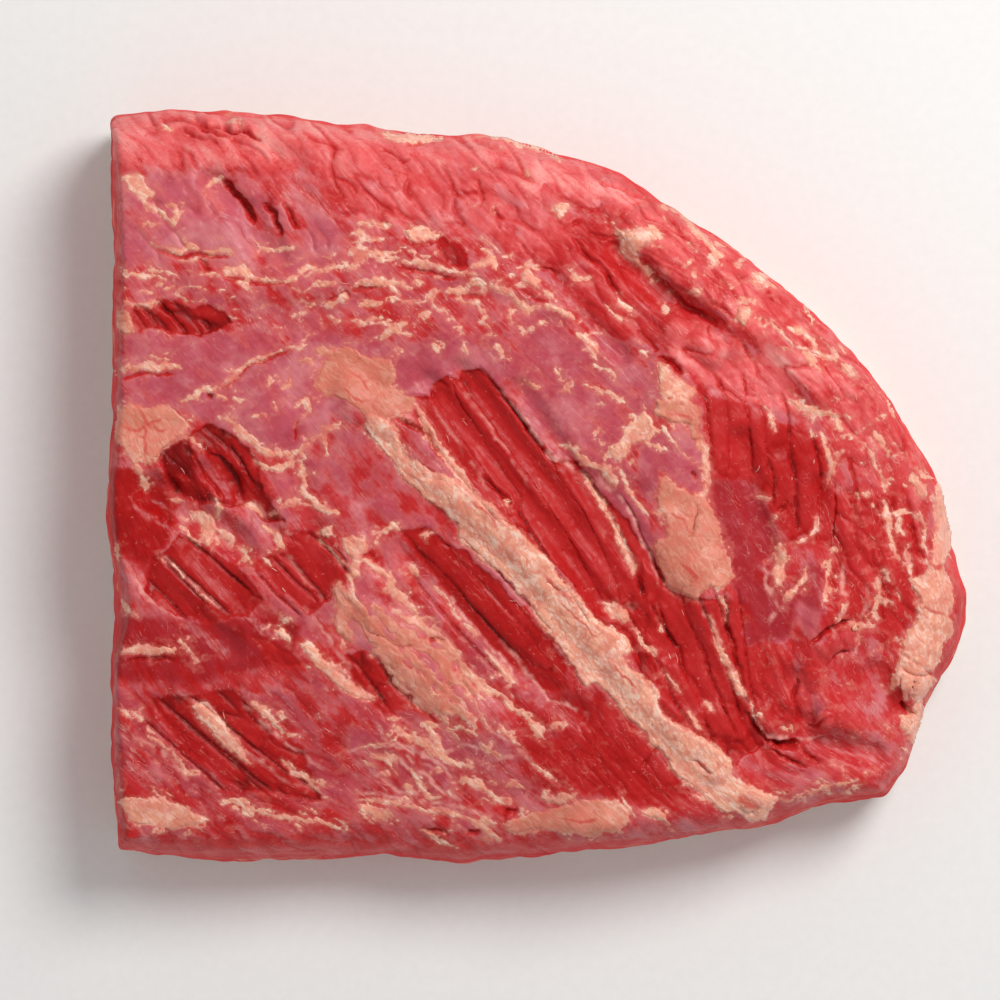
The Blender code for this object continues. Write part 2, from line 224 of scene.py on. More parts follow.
# Patches of fat: how orange each is, how thick in millimetres, and its outline.
FAT_PATCHES = [
    (0.0, 1.2, [(366, 408), (380, 415), (395, 425), (400, 440), (412, 455), (430, 470), (452, 478),
                (470, 492), (490, 503), (508, 520), (526, 535), (540, 550), (552, 566), (566, 582),
                (580, 596), (592, 616), (612, 628), (628, 640), (636, 652), (625, 655), (630, 668),
                (642, 678), (660, 690), (656, 700), (666, 716), (680, 725), (700, 737), (718, 748),
                (730, 760), (732, 775), (748, 783), (765, 792), (780, 799), (772, 808), (762, 820),
                (750, 823), (742, 813), (726, 812), (712, 804), (698, 792), (682, 780), (668, 768),
                (662, 752), (646, 740), (638, 726), (622, 708), (608, 698), (598, 684), (584, 687),
                (578, 675), (568, 660), (554, 642), (540, 622), (526, 602), (512, 584), (495, 572),
                (476, 556), (462, 542), (456, 522), (440, 508), (422, 495), (405, 480), (392, 462),
                (378, 446), (366, 430)]),
    (1.2, 0.7, [(322, 362), (335, 350), (352, 348), (372, 356), (392, 362), (396, 374), (390, 384),
                (402, 394), (416, 399), (412, 410), (398, 416), (382, 418), (368, 415), (360, 408),
                (345, 402), (325, 395), (312, 385), (318, 372)]),
    (0.8, 0.7, [(118, 412), (130, 404), (150, 408), (165, 402), (185, 418), (192, 428), (178, 438),
                (166, 446), (156, 460), (150, 466), (140, 462), (132, 464), (122, 450), (116, 435)]),
    (0.2, 0.9, [(659, 362), (664, 363), (672, 374), (684, 382), (697, 388), (690, 398), (676, 399),
                (662, 400), (657, 388)]),
    (0.6, 1.4, [(657, 401), (675, 397), (689, 398), (697, 405), (700, 416), (701, 430), (703, 438),
                (693, 438), (688, 424), (670, 422), (656, 416)]),
    (0.2, 0.8, [(645, 404), (649, 416), (655, 424), (661, 432), (648, 440), (636, 444), (630, 452),
                (626, 460), (617, 463), (611, 455), (610, 447), (620, 440), (623, 428), (633, 420),
                (642, 414)]),
    (0.8, 0.8, [(658, 478), (668, 478), (680, 487), (692, 494), (703, 492), (711, 506), (717, 520),
                (722, 540), (728, 562), (736, 577), (728, 586), (720, 592), (712, 586), (704, 590),
                (697, 601), (688, 598), (676, 592), (666, 585), (661, 568), (652, 548), (658, 540),
                (668, 538), (664, 520), (655, 500)]),
    (0.25, 1.1, [(934, 482), (945, 480), (951, 505), (953, 535), (950, 556), (944, 566), (951, 582),
                 (953, 602), (949, 616), (952, 630), (943, 645), (941, 662), (934, 672), (922, 668),
                 (912, 660), (902, 655), (900, 645), (908, 632), (916, 622), (914, 608), (920, 598),
                 (914, 586), (924, 575), (930, 556), (934, 538), (937, 515), (936, 498)]),
    (0.3, 0.9, [(343, 538), (352, 534), (362, 537), (367, 546), (361, 556), (362, 578), (346, 579),
                (350, 560), (343, 548)]),
    (0.85, 0.6, [(500, 826), (514, 818), (530, 813), (550, 808), (572, 802), (600, 800), (620, 799),
                 (629, 812), (627, 824), (612, 832), (596, 836), (565, 833), (535, 829), (510, 833)]),
    (0.4, 0.8, [(640, 812), (650, 805), (661, 808), (668, 816), (671, 826), (664, 822), (652, 818)]),
    (0.4, 0.8, [(298, 640), (306, 640), (318, 648), (330, 660), (345, 675), (360, 688), (378, 698),
                (366, 702), (350, 694), (334, 682), (320, 668), (306, 655)]),
    (0.8, 0.9, [(116, 312), (130, 311), (133, 320), (135, 332), (126, 337), (118, 326)]),
    (0.1, 0.35, [(122, 174), (138, 174), (150, 186), (159, 194), (142, 199), (128, 190)]),
    (0.1, 1.3, [(613, 226), (620, 231), (634, 229), (650, 229), (656, 238), (648, 246), (638, 248),
                (640, 258), (641, 268), (632, 262), (623, 253), (620, 243), (621, 236)]),
    (0.1, 0.7, [(751, 276), (768, 273), (772, 279), (760, 285), (752, 284)]),
    (0.2, 1.0, [(740, 308), (748, 306), (753, 312), (748, 322), (742, 328), (737, 320)]),
    (0.0, 0.9, [(552, 204), (569, 203), (566, 212), (558, 219)]),
    (0.15, 0.9, [(522, 268), (528, 264), (534, 272), (542, 278), (543, 288), (533, 287), (522, 283),
                 (520, 276)]),
    (0.4, 0.9, [(773, 548), (778, 544), (785, 552), (786, 570), (783, 585), (775, 586), (772, 572)]),
    (0.3, 0.7, [(806, 566), (808, 578), (800, 586), (793, 598), (783, 602), (781, 594), (792, 588),
                (800, 578)]),
    (0.2, 1.2, [(603, 603), (615, 601), (630, 610), (632, 620), (622, 623), (612, 618)]),
    (0.1, 1.1, [(317, 528), (326, 525), (333, 526), (337, 536), (330, 540), (320, 536)]),
    (0.1, 1.3, [(404, 234), (410, 228), (420, 225), (427, 230), (432, 238), (422, 243), (408, 241)]),
    (0.1, 1.0, [(275, 632), (284, 629), (290, 636), (291, 640), (280, 639)]),
    (0.25, 0.8, [(186, 510), (200, 510), (214, 517), (218, 530), (212, 540), (205, 548), (200, 535),
                 (203, 525), (192, 518)]),
    (0.4, 0.9, [(900, 655), (912, 660), (926, 668), (933, 680), (928, 696), (916, 700), (908, 692),
                (898, 688), (891, 676)]),
    (0.3, 0.9, [(896, 718), (906, 716), (912, 704), (922, 702), (924, 718), (926, 730), (918, 747),
                (908, 742), (902, 728)]),
    (0.3, 0.8, [(190, 705), (205, 702), (225, 722), (240, 742), (252, 762), (238, 760), (215, 738),
                (198, 722)]),
    (0.5, 0.7, [(118, 800), (150, 795), (185, 806), (210, 822), (170, 828), (130, 822)]),
]

# Strands of fat, by how orange they are and their width in pixels: the places that each runs through.
FAT_STRANDS = {
    (1.0, 14): [
        [(348, 596), (362, 616), (378, 638), (396, 652)],
        [(376, 606), (392, 626), (416, 642), (438, 656), (452, 676), (478, 692)],
    ],
    (1.0, 8): [[(396, 634), (414, 660), (438, 684), (462, 700)]],
    (0.9, 6): [[(868, 360), (876, 370)]],
    (0.8, 19): [[(368, 626), (388, 656), (412, 680), (440, 704), (470, 718)]],
    (0.8, 16): [[(336, 586), (344, 604), (342, 622), (350, 640)]],
    (0.8, 9): [[(902, 402), (912, 412), (916, 425), (922, 442)]],
    (0.8, 6): [[(116, 541), (120, 562)]],
    (0.7, 10): [[(400, 616), (420, 626), (438, 636), (450, 654), (468, 670)]],
    (0.5, 10): [[(137, 464), (142, 474)]],
    (0.5, 9): [[(384, 664), (402, 686), (424, 706), (446, 716)], [(362, 806), (376, 815), (394, 815)]],
    (0.5, 8): [[(122, 367), (140, 369), (160, 367), (178, 367)]],
    (0.5, 7): [[(426, 700), (436, 708), (446, 722)]],
    (0.4, 9): [[(124, 650), (140, 649), (155, 652), (175, 651)]],
    (0.4, 8): [[(540, 795), (556, 800), (575, 795)]],
    (0.4, 6): [
        [(370, 317), (382, 318)], [(122, 598), (130, 610), (136, 616)],
        [(903, 658), (915, 665), (926, 668), (936, 665)],
    ],
    (0.4, 5): [[(705, 703), (712, 709)]],
    (0.35, 9): [[(365, 560), (380, 570), (388, 576), (393, 590), (405, 605), (416, 612)]],
    (0.35, 8): [[(414, 404), (425, 425), (440, 448), (450, 460), (465, 480), (480, 502)]],
    (0.3, 11): [[(531, 721), (538, 727), (543, 737)]],
    (0.3, 10): [[(222, 272), (235, 272), (248, 275)]],
    (0.3, 9): [[(462, 777), (475, 783), (486, 791)]],
    (0.3, 8): [
        [(568, 444), (580, 458), (590, 465), (603, 468)],
        [(380, 341), (388, 333), (398, 327), (409, 322)], [(911, 680), (905, 700)],
        [(921, 684), (921, 704)],
    ],
    (0.3, 7): [
        [(490, 690), (505, 700), (520, 711), (532, 720)],
        [(395, 725), (405, 735), (417, 741), (430, 749), (441, 755), (455, 763), (471, 768)],
        [(489, 791), (500, 800), (508, 806)],
    ],
    (0.3, 6): [
        [(156, 245), (168, 248), (180, 252), (190, 247), (200, 250), (212, 252), (222, 248), (233, 254)],
        [(360, 306), (370, 302)], [(180, 400), (195, 396), (205, 388), (214, 389)],
        [(142, 474), (148, 488)], [(370, 755), (385, 760), (392, 769)],
    ],
    (0.3, 5): [
        [(345, 237), (360, 232), (372, 240), (384, 238)], [(352, 250), (372, 253), (398, 250)],
        [(230, 808), (262, 812), (300, 820), (340, 826)],
    ],
    (0.3, 4): [
        [(128, 303), (145, 306), (160, 302)], [(165, 446), (180, 438), (190, 436), (200, 448)],
        [(302, 362), (316, 358)],
    ],
    (0.25, 8): [[(790, 401), (798, 408), (808, 410), (818, 412), (828, 412)]],
    (0.25, 6): [[(440, 455), (455, 474), (470, 490)]],
    (0.2, 9): [[(697, 438), (703, 452), (707, 468), (707, 482), (704, 494)]],
    (0.2, 8): [
        [(578, 332), (590, 340), (599, 352)],
        [(613, 522), (620, 540), (625, 555), (630, 566), (634, 574)],
        [(460, 668), (470, 678), (482, 686), (491, 696)],
    ],
    (0.2, 7): [
        [(545, 306), (560, 310), (573, 321)], [(828, 413), (836, 419), (842, 428)],
        [(301, 465), (306, 480), (303, 491)], [(376, 540), (384, 531), (392, 526), (401, 530)],
        [(896, 672), (890, 690)],
    ],
    (0.2, 6): [
        [(145, 200), (150, 206), (158, 212), (165, 220), (173, 224), (178, 217), (176, 208), (167, 206)],
        [(400, 262), (418, 262), (440, 268), (456, 272)],
        [(352, 287), (362, 283), (376, 284), (384, 278), (392, 288), (400, 297)],
        [(545, 290), (552, 297)], [(803, 308), (812, 318), (813, 325)],
        [(823, 430), (826, 445), (830, 458), (832, 470), (829, 484)],
        [(883, 500), (888, 520), (890, 540), (895, 555), (904, 561)],
        [(585, 346), (592, 352), (597, 358)], [(315, 350), (330, 352), (336, 358)],
        [(295, 405), (306, 401), (308, 409), (303, 416)], [(215, 500), (221, 510), (218, 519)],
        [(411, 768), (415, 776), (420, 786), (428, 796), (440, 797)], [(902, 660), (895, 668)],
        [(250, 700), (268, 716), (284, 735)], [(280, 760), (300, 775), (318, 790)],
    ],
    (0.2, 5): [
        [(205, 190), (213, 184), (222, 178)],
        [(122, 272), (130, 276), (142, 278), (152, 274), (165, 278)],
        [(248, 276), (265, 279), (280, 281), (292, 279), (300, 272), (308, 266), (318, 270), (330, 268),
         (345, 266)], [(355, 224), (372, 223), (392, 226)], [(382, 280), (395, 280), (405, 285)],
        [(668, 209), (682, 216), (700, 236), (716, 255)],
        [(920, 514), (926, 525), (924, 540), (926, 556)], [(775, 516), (777, 520)],
        [(268, 377), (270, 386)], [(281, 388), (289, 383), (290, 377)],
        [(360, 800), (400, 806), (440, 811), (470, 819), (496, 826)],
        [(470, 820), (485, 830), (500, 839)],
    ],
    (0.2, 4): [[(376, 259), (398, 258)], [(148, 357), (170, 358)], [(420, 831), (440, 841), (460, 846)]],
    (0.15, 10): [[(428, 732), (436, 741), (442, 755)]],
    (0.15, 9): [[(853, 624), (859, 628), (867, 629)]],
    (0.15, 8): [
        [(385, 133), (400, 138), (420, 137), (442, 139)], [(245, 505), (254, 508), (260, 515)],
        [(300, 492), (312, 500), (320, 508), (330, 512), (338, 515)],
        [(218, 530), (228, 535), (232, 545)], [(501, 668), (508, 678), (515, 681)],
    ],
    (0.15, 7): [[(410, 565), (418, 575)]],
    (0.15, 6): [
        [(582, 475), (592, 488), (602, 502), (610, 515), (613, 522)],
        [(235, 545), (245, 552), (251, 563)], [(480, 742), (490, 750), (498, 756)],
    ],
    (0.15, 5): [
        [(620, 470), (628, 485), (637, 500), (646, 517)], [(495, 345), (506, 356)],
        [(505, 502), (508, 505)],
    ],
    (0.1, 12): [[(605, 464), (609, 475), (617, 484)]],
    (0.1, 9): [[(475, 266), (490, 262), (497, 270)]],
    (0.1, 8): [[(912, 476), (918, 483), (922, 496)], [(262, 525), (272, 532), (280, 540), (284, 548)]],
    (0.1, 7): [
        [(448, 288), (462, 290), (470, 284), (480, 282), (488, 291)],
        [(490, 285), (505, 292), (515, 303), (526, 308)],
    ],
    (0.1, 6): [
        [(415, 281), (424, 283)], [(650, 225), (655, 231), (660, 238)], [(286, 619), (290, 621)],
        [(462, 625), (470, 632), (476, 638)], [(685, 712), (694, 724), (700, 729)],
    ],
    (0.1, 5): [
        [(438, 300), (432, 296), (430, 303), (438, 309), (448, 315)],
        [(516, 301), (530, 310), (540, 306)], [(465, 302), (478, 300), (481, 312)],
        [(642, 268), (650, 276)], [(715, 252), (722, 257)], [(812, 429), (815, 437)],
        [(905, 548), (908, 560), (911, 575)], [(878, 578), (878, 595), (872, 612)],
        [(845, 604), (841, 612)], [(640, 440), (655, 446), (666, 450)], [(593, 432), (599, 433)],
        [(430, 345), (440, 352)], [(519, 324), (525, 335)], [(530, 380), (539, 386)],
        [(564, 384), (571, 391)], [(298, 348), (302, 347)], [(422, 536), (428, 538)],
        [(452, 612), (459, 619)], [(448, 642), (455, 653)], [(485, 650), (500, 665), (506, 672)],
        [(130, 710), (142, 720)],
    ],
    (0.1, 4): [
        [(452, 688), (464, 704), (474, 722)], [(143, 225), (150, 222), (156, 224)],
        [(165, 290), (174, 285)], [(342, 263), (352, 268), (364, 262)],
        [(565, 272), (576, 277), (590, 276)], [(897, 518), (898, 535)], [(830, 552), (838, 548)],
        [(662, 425), (668, 440), (680, 450), (690, 458)], [(670, 422), (673, 429)],
        [(630, 462), (634, 464)], [(640, 350), (650, 358)], [(460, 342), (470, 354)],
        [(484, 335), (496, 338)], [(554, 368), (561, 376)], [(398, 355), (405, 352)],
        [(216, 396), (229, 399)], [(320, 438), (328, 448), (330, 456)], [(273, 404), (276, 411)],
        [(250, 416), (261, 413)], [(180, 525), (190, 535), (200, 545)], [(268, 513), (279, 508)],
        [(285, 505), (300, 500)], [(180, 640), (190, 650), (196, 662)], [(550, 726), (566, 725)],
        [(482, 715), (490, 729)], [(445, 729), (460, 726), (476, 733)],
        [(622, 797), (628, 808), (633, 819)], [(603, 529), (605, 534)], [(759, 711), (763, 713)],
        [(150, 735), (172, 752), (190, 772)],
    ],
    (0.1, 3.5): [
        [(829, 560), (828, 580), (827, 600)], [(320, 540), (335, 555), (345, 566)],
        [(657, 619), (663, 631)], [(780, 801), (800, 796), (830, 786), (858, 781)],
    ],
    (0.1, 3): [[(444, 692), (452, 706), (462, 718)], [(462, 690), (476, 704), (484, 716)]],
    (0.05, 8): [
        [(840, 361), (848, 368), (857, 378)],
        [(226, 420), (240, 430), (250, 440), (260, 450), (275, 452), (290, 455), (300, 449)],
    ],
    (0.05, 7): [[(351, 582), (355, 600), (357, 614)]],
    (0.05, 6): [[(255, 463), (266, 467), (282, 467), (300, 460)]],
    (0.05, 5): [[(817, 351), (830, 357), (838, 360)]],
    (0.05, 3.5): [
        [(220, 385), (230, 376), (245, 367), (258, 360), (275, 353), (290, 347), (305, 343)],
        [(360, 748), (375, 745), (395, 740), (405, 732)], [(496, 722), (508, 734), (520, 745)],
        [(530, 760), (545, 771), (558, 783)], [(633, 628), (645, 643), (658, 656)],
        [(660, 671), (671, 679), (680, 692)], [(715, 590), (722, 605), (727, 621)],
        [(751, 700), (755, 720)],
    ],
    (0.0, 9): [[(716, 640), (722, 655), (729, 668), (735, 680), (744, 696)]],
    (0.0, 8): [[(488, 136), (515, 141), (545, 150), (560, 160)]],
    (0.0, 7): [[(665, 304), (667, 315)]],
    (0.0, 6): [[(790, 328), (803, 333), (812, 340), (817, 350)], [(380, 772), (390, 774)]],
    (0.0, 5): [
        [(474, 171), (478, 171)], [(526, 172), (528, 177)], [(618, 298), (625, 307), (631, 312)],
        [(172, 497), (181, 500)], [(783, 728), (787, 730)],
    ],
    (0.0, 4.5): [[(693, 286), (698, 295)], [(504, 785), (513, 785)]],
    (0.0, 4): [
        [(253, 238), (258, 248), (268, 250), (285, 249), (298, 247)], [(160, 126), (172, 130)],
        [(228, 123), (245, 124)], [(478, 236), (490, 243), (503, 257)], [(688, 272), (697, 275)],
        [(743, 296), (750, 300)], [(735, 262), (741, 265)],
        [(795, 343), (803, 352), (812, 362), (821, 373)], [(862, 491), (869, 494)],
        [(887, 400), (892, 410), (893, 418)], [(872, 502), (874, 505)], [(897, 590), (898, 600)],
        [(584, 386), (600, 393), (614, 396), (629, 400)], [(595, 364), (608, 370), (617, 379)],
        [(235, 398), (245, 400)], [(300, 448), (315, 440), (325, 431), (340, 425)],
        [(265, 555), (272, 566)], [(262, 630), (270, 626)], [(709, 616), (714, 630), (719, 645)],
    ],
    (0.0, 3.5): [
        [(185, 262), (200, 258), (207, 261)], [(475, 206), (477, 206)], [(494, 212), (496, 212)],
        [(606, 305), (614, 317), (622, 322)], [(770, 325), (780, 330), (795, 344)],
        [(825, 343), (833, 350), (840, 358)], [(857, 440), (866, 445), (872, 458), (878, 472)],
        [(873, 430), (880, 441), (888, 455)], [(882, 470), (884, 490)], [(770, 418), (774, 430)],
        [(765, 406), (773, 416)], [(818, 518), (815, 530), (805, 540), (797, 543)],
        [(757, 495), (765, 497), (772, 499)], [(434, 587), (445, 598), (455, 612)],
    ],
    (0.0, 2): [[(160, 560), (175, 566), (190, 583), (205, 596), (219, 607)]],
}

# The round bundles laid bare beside the long seam, by width in pixels: where each runs.
RODS = {
    32: [[(296, 543), (318, 564), (342, 592)]],
    29: [
        [(467, 375), (488, 400), (510, 430), (525, 450), (541, 470), (558, 500), (577, 530), (594, 560),
         (608, 590), (614, 605)],
    ],
    27: [[(172, 543), (204, 571), (243, 606)]],
    26: [
        [(456, 382), (466, 400), (488, 430), (500, 450), (513, 470), (531, 500), (543, 520), (561, 550),
         (579, 580), (593, 603), (601, 617)],
    ],
    25: [
        [(422, 401), (432, 415), (443, 430), (460, 457), (484, 485), (500, 504), (508, 514)],
        [(557, 463), (574, 481), (587, 500), (598, 520), (607, 540), (617, 560), (626, 580), (631, 602)],
        [(768, 394), (776, 420), (778, 450)],
    ],
    24: [
        [(799, 432), (808, 470), (811, 532)], [(420, 562), (446, 597), (478, 634), (512, 668)],
        [(428, 543), (458, 575), (492, 611), (530, 652)], [(150, 708), (188, 742), (236, 784)],
    ],
    22: [
        [(442, 387), (450, 402), (468, 430), (480, 450), (494, 470), (510, 493), (521, 509)],
        [(668, 596), (680, 630), (694, 664), (708, 700), (728, 742)],
        [(731, 376), (737, 410), (741, 470)], [(152, 565), (172, 586), (198, 613)],
        [(262, 562), (286, 588), (312, 611)], [(180, 702), (222, 736), (282, 784)],
    ],
    20: [
        [(614, 504), (628, 530), (637, 550), (646, 570), (656, 592)],
        [(640, 606), (652, 630), (668, 656), (682, 690), (700, 722)],
        [(777, 452), (785, 480), (784, 508)], [(452, 543), (482, 571), (512, 602), (546, 640)],
    ],
    18: [[(690, 602), (704, 636), (716, 668), (728, 706)], [(714, 388), (718, 420), (722, 466)]],
    15: [[(752, 396), (757, 430), (760, 474)], [(826, 478), (828, 505), (824, 542)]],
    14: [
        [(705, 590), (716, 620), (726, 650), (738, 684), (748, 716)],
        [(731, 589), (734, 615), (738, 645), (742, 680), (748, 706)],
    ],
}

# Cracks and folds, painted darker as painted shade, by depth in millimetres and width in pixels: where each
# runs.
CREASES = {
    (2.8, 11): [[(221, 181), (232, 186), (240, 196), (248, 208), (257, 223)]],
    (2.4, 12): [[(772, 743), (785, 744), (797, 748)]],
    (2.4, 9): [[(899, 703), (906, 709), (913, 717)]],
    (2.4, 7): [[(395, 418), (408, 422), (420, 430), (432, 443), (441, 456)]],
    (2.2, 10): [[(659, 356), (672, 361), (683, 375)]],
    (2.2, 9): [[(262, 202), (270, 212), (277, 225), (282, 235)]],
    (2.0, 7): [[(748, 712), (757, 730), (766, 741), (785, 742), (800, 744)]],
    (2.0, 6): [[(856, 620), (840, 625), (825, 632), (811, 646)]],
    (1.8, 8): [[(207, 394), (213, 397)]],
    (1.8, 6): [[(194, 119), (208, 127), (222, 126), (238, 135)]],
    (1.6, 8): [[(281, 205), (290, 216), (298, 231)]],
    (1.6, 6): [
        [(692, 472), (698, 478)], [(770, 748), (790, 759), (806, 766)],
        [(797, 678), (795, 700), (799, 718)],
    ],
    (1.6, 5): [[(224, 124), (232, 132), (246, 131), (262, 141)]],
    (1.5, 6): [
        [(572, 237), (585, 250), (597, 262), (607, 275), (615, 290), (621, 299)],
        [(799, 745), (808, 755), (821, 764)],
    ],
    (1.4, 10): [[(642, 262), (655, 277), (668, 291), (682, 305), (700, 313), (716, 323)]],
    (1.4, 8): [[(480, 476), (495, 486), (511, 503)]],
    (1.4, 6): [
        [(492, 208), (497, 214), (504, 219)], [(200, 259), (206, 264), (210, 272)],
        [(592, 616), (603, 623), (615, 631)], [(722, 596), (730, 630), (738, 660), (744, 690)],
        [(430, 641), (436, 638), (444, 642)],
    ],
    (1.4, 5): [[(502, 820), (508, 811), (520, 809)]],
    (1.3, 5): [[(158, 300), (175, 318), (187, 336)]],
    (1.2, 6): [
        [(378, 150), (392, 154), (404, 163), (412, 158)], [(698, 505), (696, 530), (689, 540)],
        [(905, 500), (912, 530), (922, 562)], [(806, 724), (820, 724), (828, 718)],
        [(362, 557), (370, 553), (378, 560)], [(425, 833), (448, 832)], [(466, 833), (480, 833)],
    ],
    (1.2, 5): [
        [(496, 394), (512, 408), (522, 422), (536, 446), (548, 457)],
        [(176, 128), (190, 133), (204, 141)], [(850, 650), (840, 652), (829, 661)],
        [(899, 664), (908, 672), (918, 676), (932, 674)], [(900, 676), (898, 694)],
        [(916, 680), (913, 700)], [(737, 806), (746, 812), (755, 813)],
    ],
    (1.0, 7): [[(470, 139), (485, 146), (501, 153)]],
    (1.0, 6): [
        [(197, 127), (215, 134), (223, 138)], [(664, 214), (674, 226), (682, 236)],
        [(698, 385), (706, 401)], [(202, 447), (215, 457), (226, 467), (236, 482), (246, 500)],
        [(850, 460), (856, 490), (852, 520)],
    ],
    (1.0, 5): [
        [(330, 175), (345, 180), (357, 195)], [(405, 145), (425, 141), (442, 141)],
        [(402, 241), (415, 245), (430, 243), (440, 238)],
        [(520, 240), (528, 252), (540, 264), (556, 276)], [(700, 290), (712, 303), (731, 313)],
        [(640, 330), (648, 340), (658, 352)], [(765, 285), (770, 295), (776, 301)],
        [(157, 248), (180, 257), (205, 255), (232, 257)], [(144, 309), (151, 318), (158, 326)],
        [(199, 316), (206, 322), (211, 330)],
        [(222, 388), (233, 379), (247, 370), (260, 363), (277, 356), (292, 349)],
        [(184, 445), (198, 462), (210, 482), (222, 500)],
        [(214, 434), (230, 448), (243, 466), (254, 488)], [(868, 540), (880, 570), (890, 600)],
        [(125, 661), (145, 658), (176, 660)], [(350, 660), (368, 680), (388, 704)],
        [(372, 655), (392, 682), (416, 712)], [(692, 760), (702, 768), (714, 774)],
        [(545, 581), (558, 588), (570, 592)],
    ],
    (0.9, 14): [[(779, 508), (782, 513)]],
    (0.9, 5): [
        [(229, 139), (245, 144), (258, 152), (271, 167)],
        [(440, 162), (448, 176), (456, 190), (466, 203)], [(560, 228), (572, 224), (582, 223)],
        [(588, 234), (605, 239), (619, 236)], [(352, 292), (366, 290), (382, 286)],
        [(298, 421), (297, 440)], [(700, 640), (712, 680), (728, 716)],
        [(660, 610), (682, 660), (706, 706)], [(640, 770), (650, 755), (660, 745)],
        [(500, 519), (518, 528), (538, 541)],
    ],
    (0.8, 7): [[(456, 213), (461, 212)], [(543, 184), (547, 187)]],
    (0.8, 5): [
        [(168, 140), (180, 145), (190, 155), (200, 171)], [(300, 135), (330, 142), (345, 150)],
        [(480, 180), (483, 195), (480, 206)], [(575, 205), (585, 211), (597, 208)],
        [(598, 182), (625, 190), (645, 200), (657, 206)],
        [(220, 278), (245, 282), (270, 283), (290, 283)],
        [(400, 268), (420, 270), (440, 276), (456, 278)], [(450, 296), (468, 294), (486, 296)],
        [(520, 292), (535, 300), (548, 303)], [(330, 300), (345, 292), (352, 300)],
        [(122, 378), (142, 375), (176, 374)], [(165, 450), (178, 466), (190, 482)],
    ],
    (0.7, 5): [[(375, 175), (390, 195), (402, 212), (415, 220)]],
}

# Rolls and flaps of meat that stand up: height in millimetres, width in pixels, and where each runs.
ROLLS = [
    (1.3, 30, [(652, 236), (672, 262), (696, 282), (724, 304), (744, 324)]),
    (1.2, 22, [(808, 668), (807, 690), (812, 712)]),
    (1.4, 18, [(826, 712), (822, 728), (806, 730)]),
    (1.3, 26, [(755, 700), (768, 720), (786, 728)]),
    (1.2, 22, [(818, 655), (834, 642), (852, 636)]),
    (1.2, 26, [(690, 335), (705, 345), (725, 360)]),
    (0.8, 20, [(600, 201), (625, 212), (648, 220)]),
    (0.8, 18, [(680, 220), (700, 245), (722, 270)]),
    (1.2, 10, [(196, 112), (208, 119), (222, 117)]),
    (1.2, 9, [(226, 128), (240, 123), (254, 130)]),
    (1.0, 8, [(205, 134), (216, 140), (230, 139)]),
    (1.0, 12, [(240, 143), (258, 148), (276, 160)]),
]

# Blood and red muscle that shows through the fat, by width in pixels: where each runs.
STAINS = {
    16: [[(738, 795), (748, 802), (758, 806)]],
    13: [[(496, 512), (520, 530), (544, 552)]],
    8: [[(540, 572), (558, 586), (575, 604)], [(694, 761), (704, 768), (716, 775)]],
    7: [[(925, 560), (935, 566), (944, 566)], [(120, 424), (136, 430), (150, 424), (166, 416)]],
    6: [
        [(676, 560), (690, 570), (700, 584)], [(148, 425), (158, 432), (168, 430)],
        [(920, 604), (932, 612), (946, 616)], [(560, 818), (580, 822), (600, 818)],
        [(136, 404), (145, 420), (142, 440), (152, 456)],
    ],
    5: [
        [(668, 512), (684, 520), (694, 540)], [(350, 372), (362, 380), (372, 392)],
        [(664, 410), (680, 414), (694, 422)],
    ],
    4: [
        [(560, 600), (580, 622), (600, 640)], [(470, 500), (486, 512), (498, 528)],
        [(612, 660), (622, 676), (640, 690)], [(340, 390), (356, 398), (370, 404)],
    ],
}

# Thin pale membranes that lie on the lean, by how strong they are: where each runs.
MEMBRANES = {
    0.8: [
        [(345, 752), (363, 747), (397, 743), (430, 757), (462, 782)],
        [(500, 390), (528, 424), (548, 455), (586, 474)],
    ],
    0.7: [
        [(360, 753), (397, 760), (440, 787), (470, 808)],
        [(352, 790), (390, 797), (440, 803), (503, 820)],
        [(355, 800), (413, 802), (463, 817), (503, 833)],
        [(440, 590), (466, 620), (498, 655), (526, 690)],
    ],
    0.6: [
        [(480, 720), (517, 747), (563, 790)], [(365, 716), (397, 747), (437, 773)],
        [(446, 752), (470, 742), (500, 757), (530, 752)],
        [(500, 640), (524, 668), (548, 700), (590, 712)],
        [(592, 470), (622, 500), (648, 552), (660, 590)], [(430, 470), (446, 504), (470, 532)],
        [(252, 500), (272, 528), (300, 536)], [(840, 560), (846, 600), (832, 640)],
        [(752, 712), (764, 734), (800, 740), (834, 732)],
    ],
    0.5: [
        [(368, 770), (400, 790), (440, 796)], [(126, 560), (140, 590), (170, 616)],
        [(300, 600), (330, 640), (350, 670)], [(176, 690), (212, 716), (256, 760), (300, 790)],
        [(240, 700), (280, 740), (330, 770)], [(124, 730), (160, 750), (200, 790)],
        [(762, 560), (772, 600), (770, 650)], [(868, 580), (862, 620), (846, 668)],
        [(700, 600), (722, 650), (748, 706)],
    ],
    0.3: [
        [(456, 378), (482, 416), (507, 450), (533, 492)],
        [(432, 400), (447, 430), (474, 468), (500, 504)], [(163, 556), (190, 580), (222, 610)],
        [(280, 548), (300, 574), (326, 602)],
    ],
}

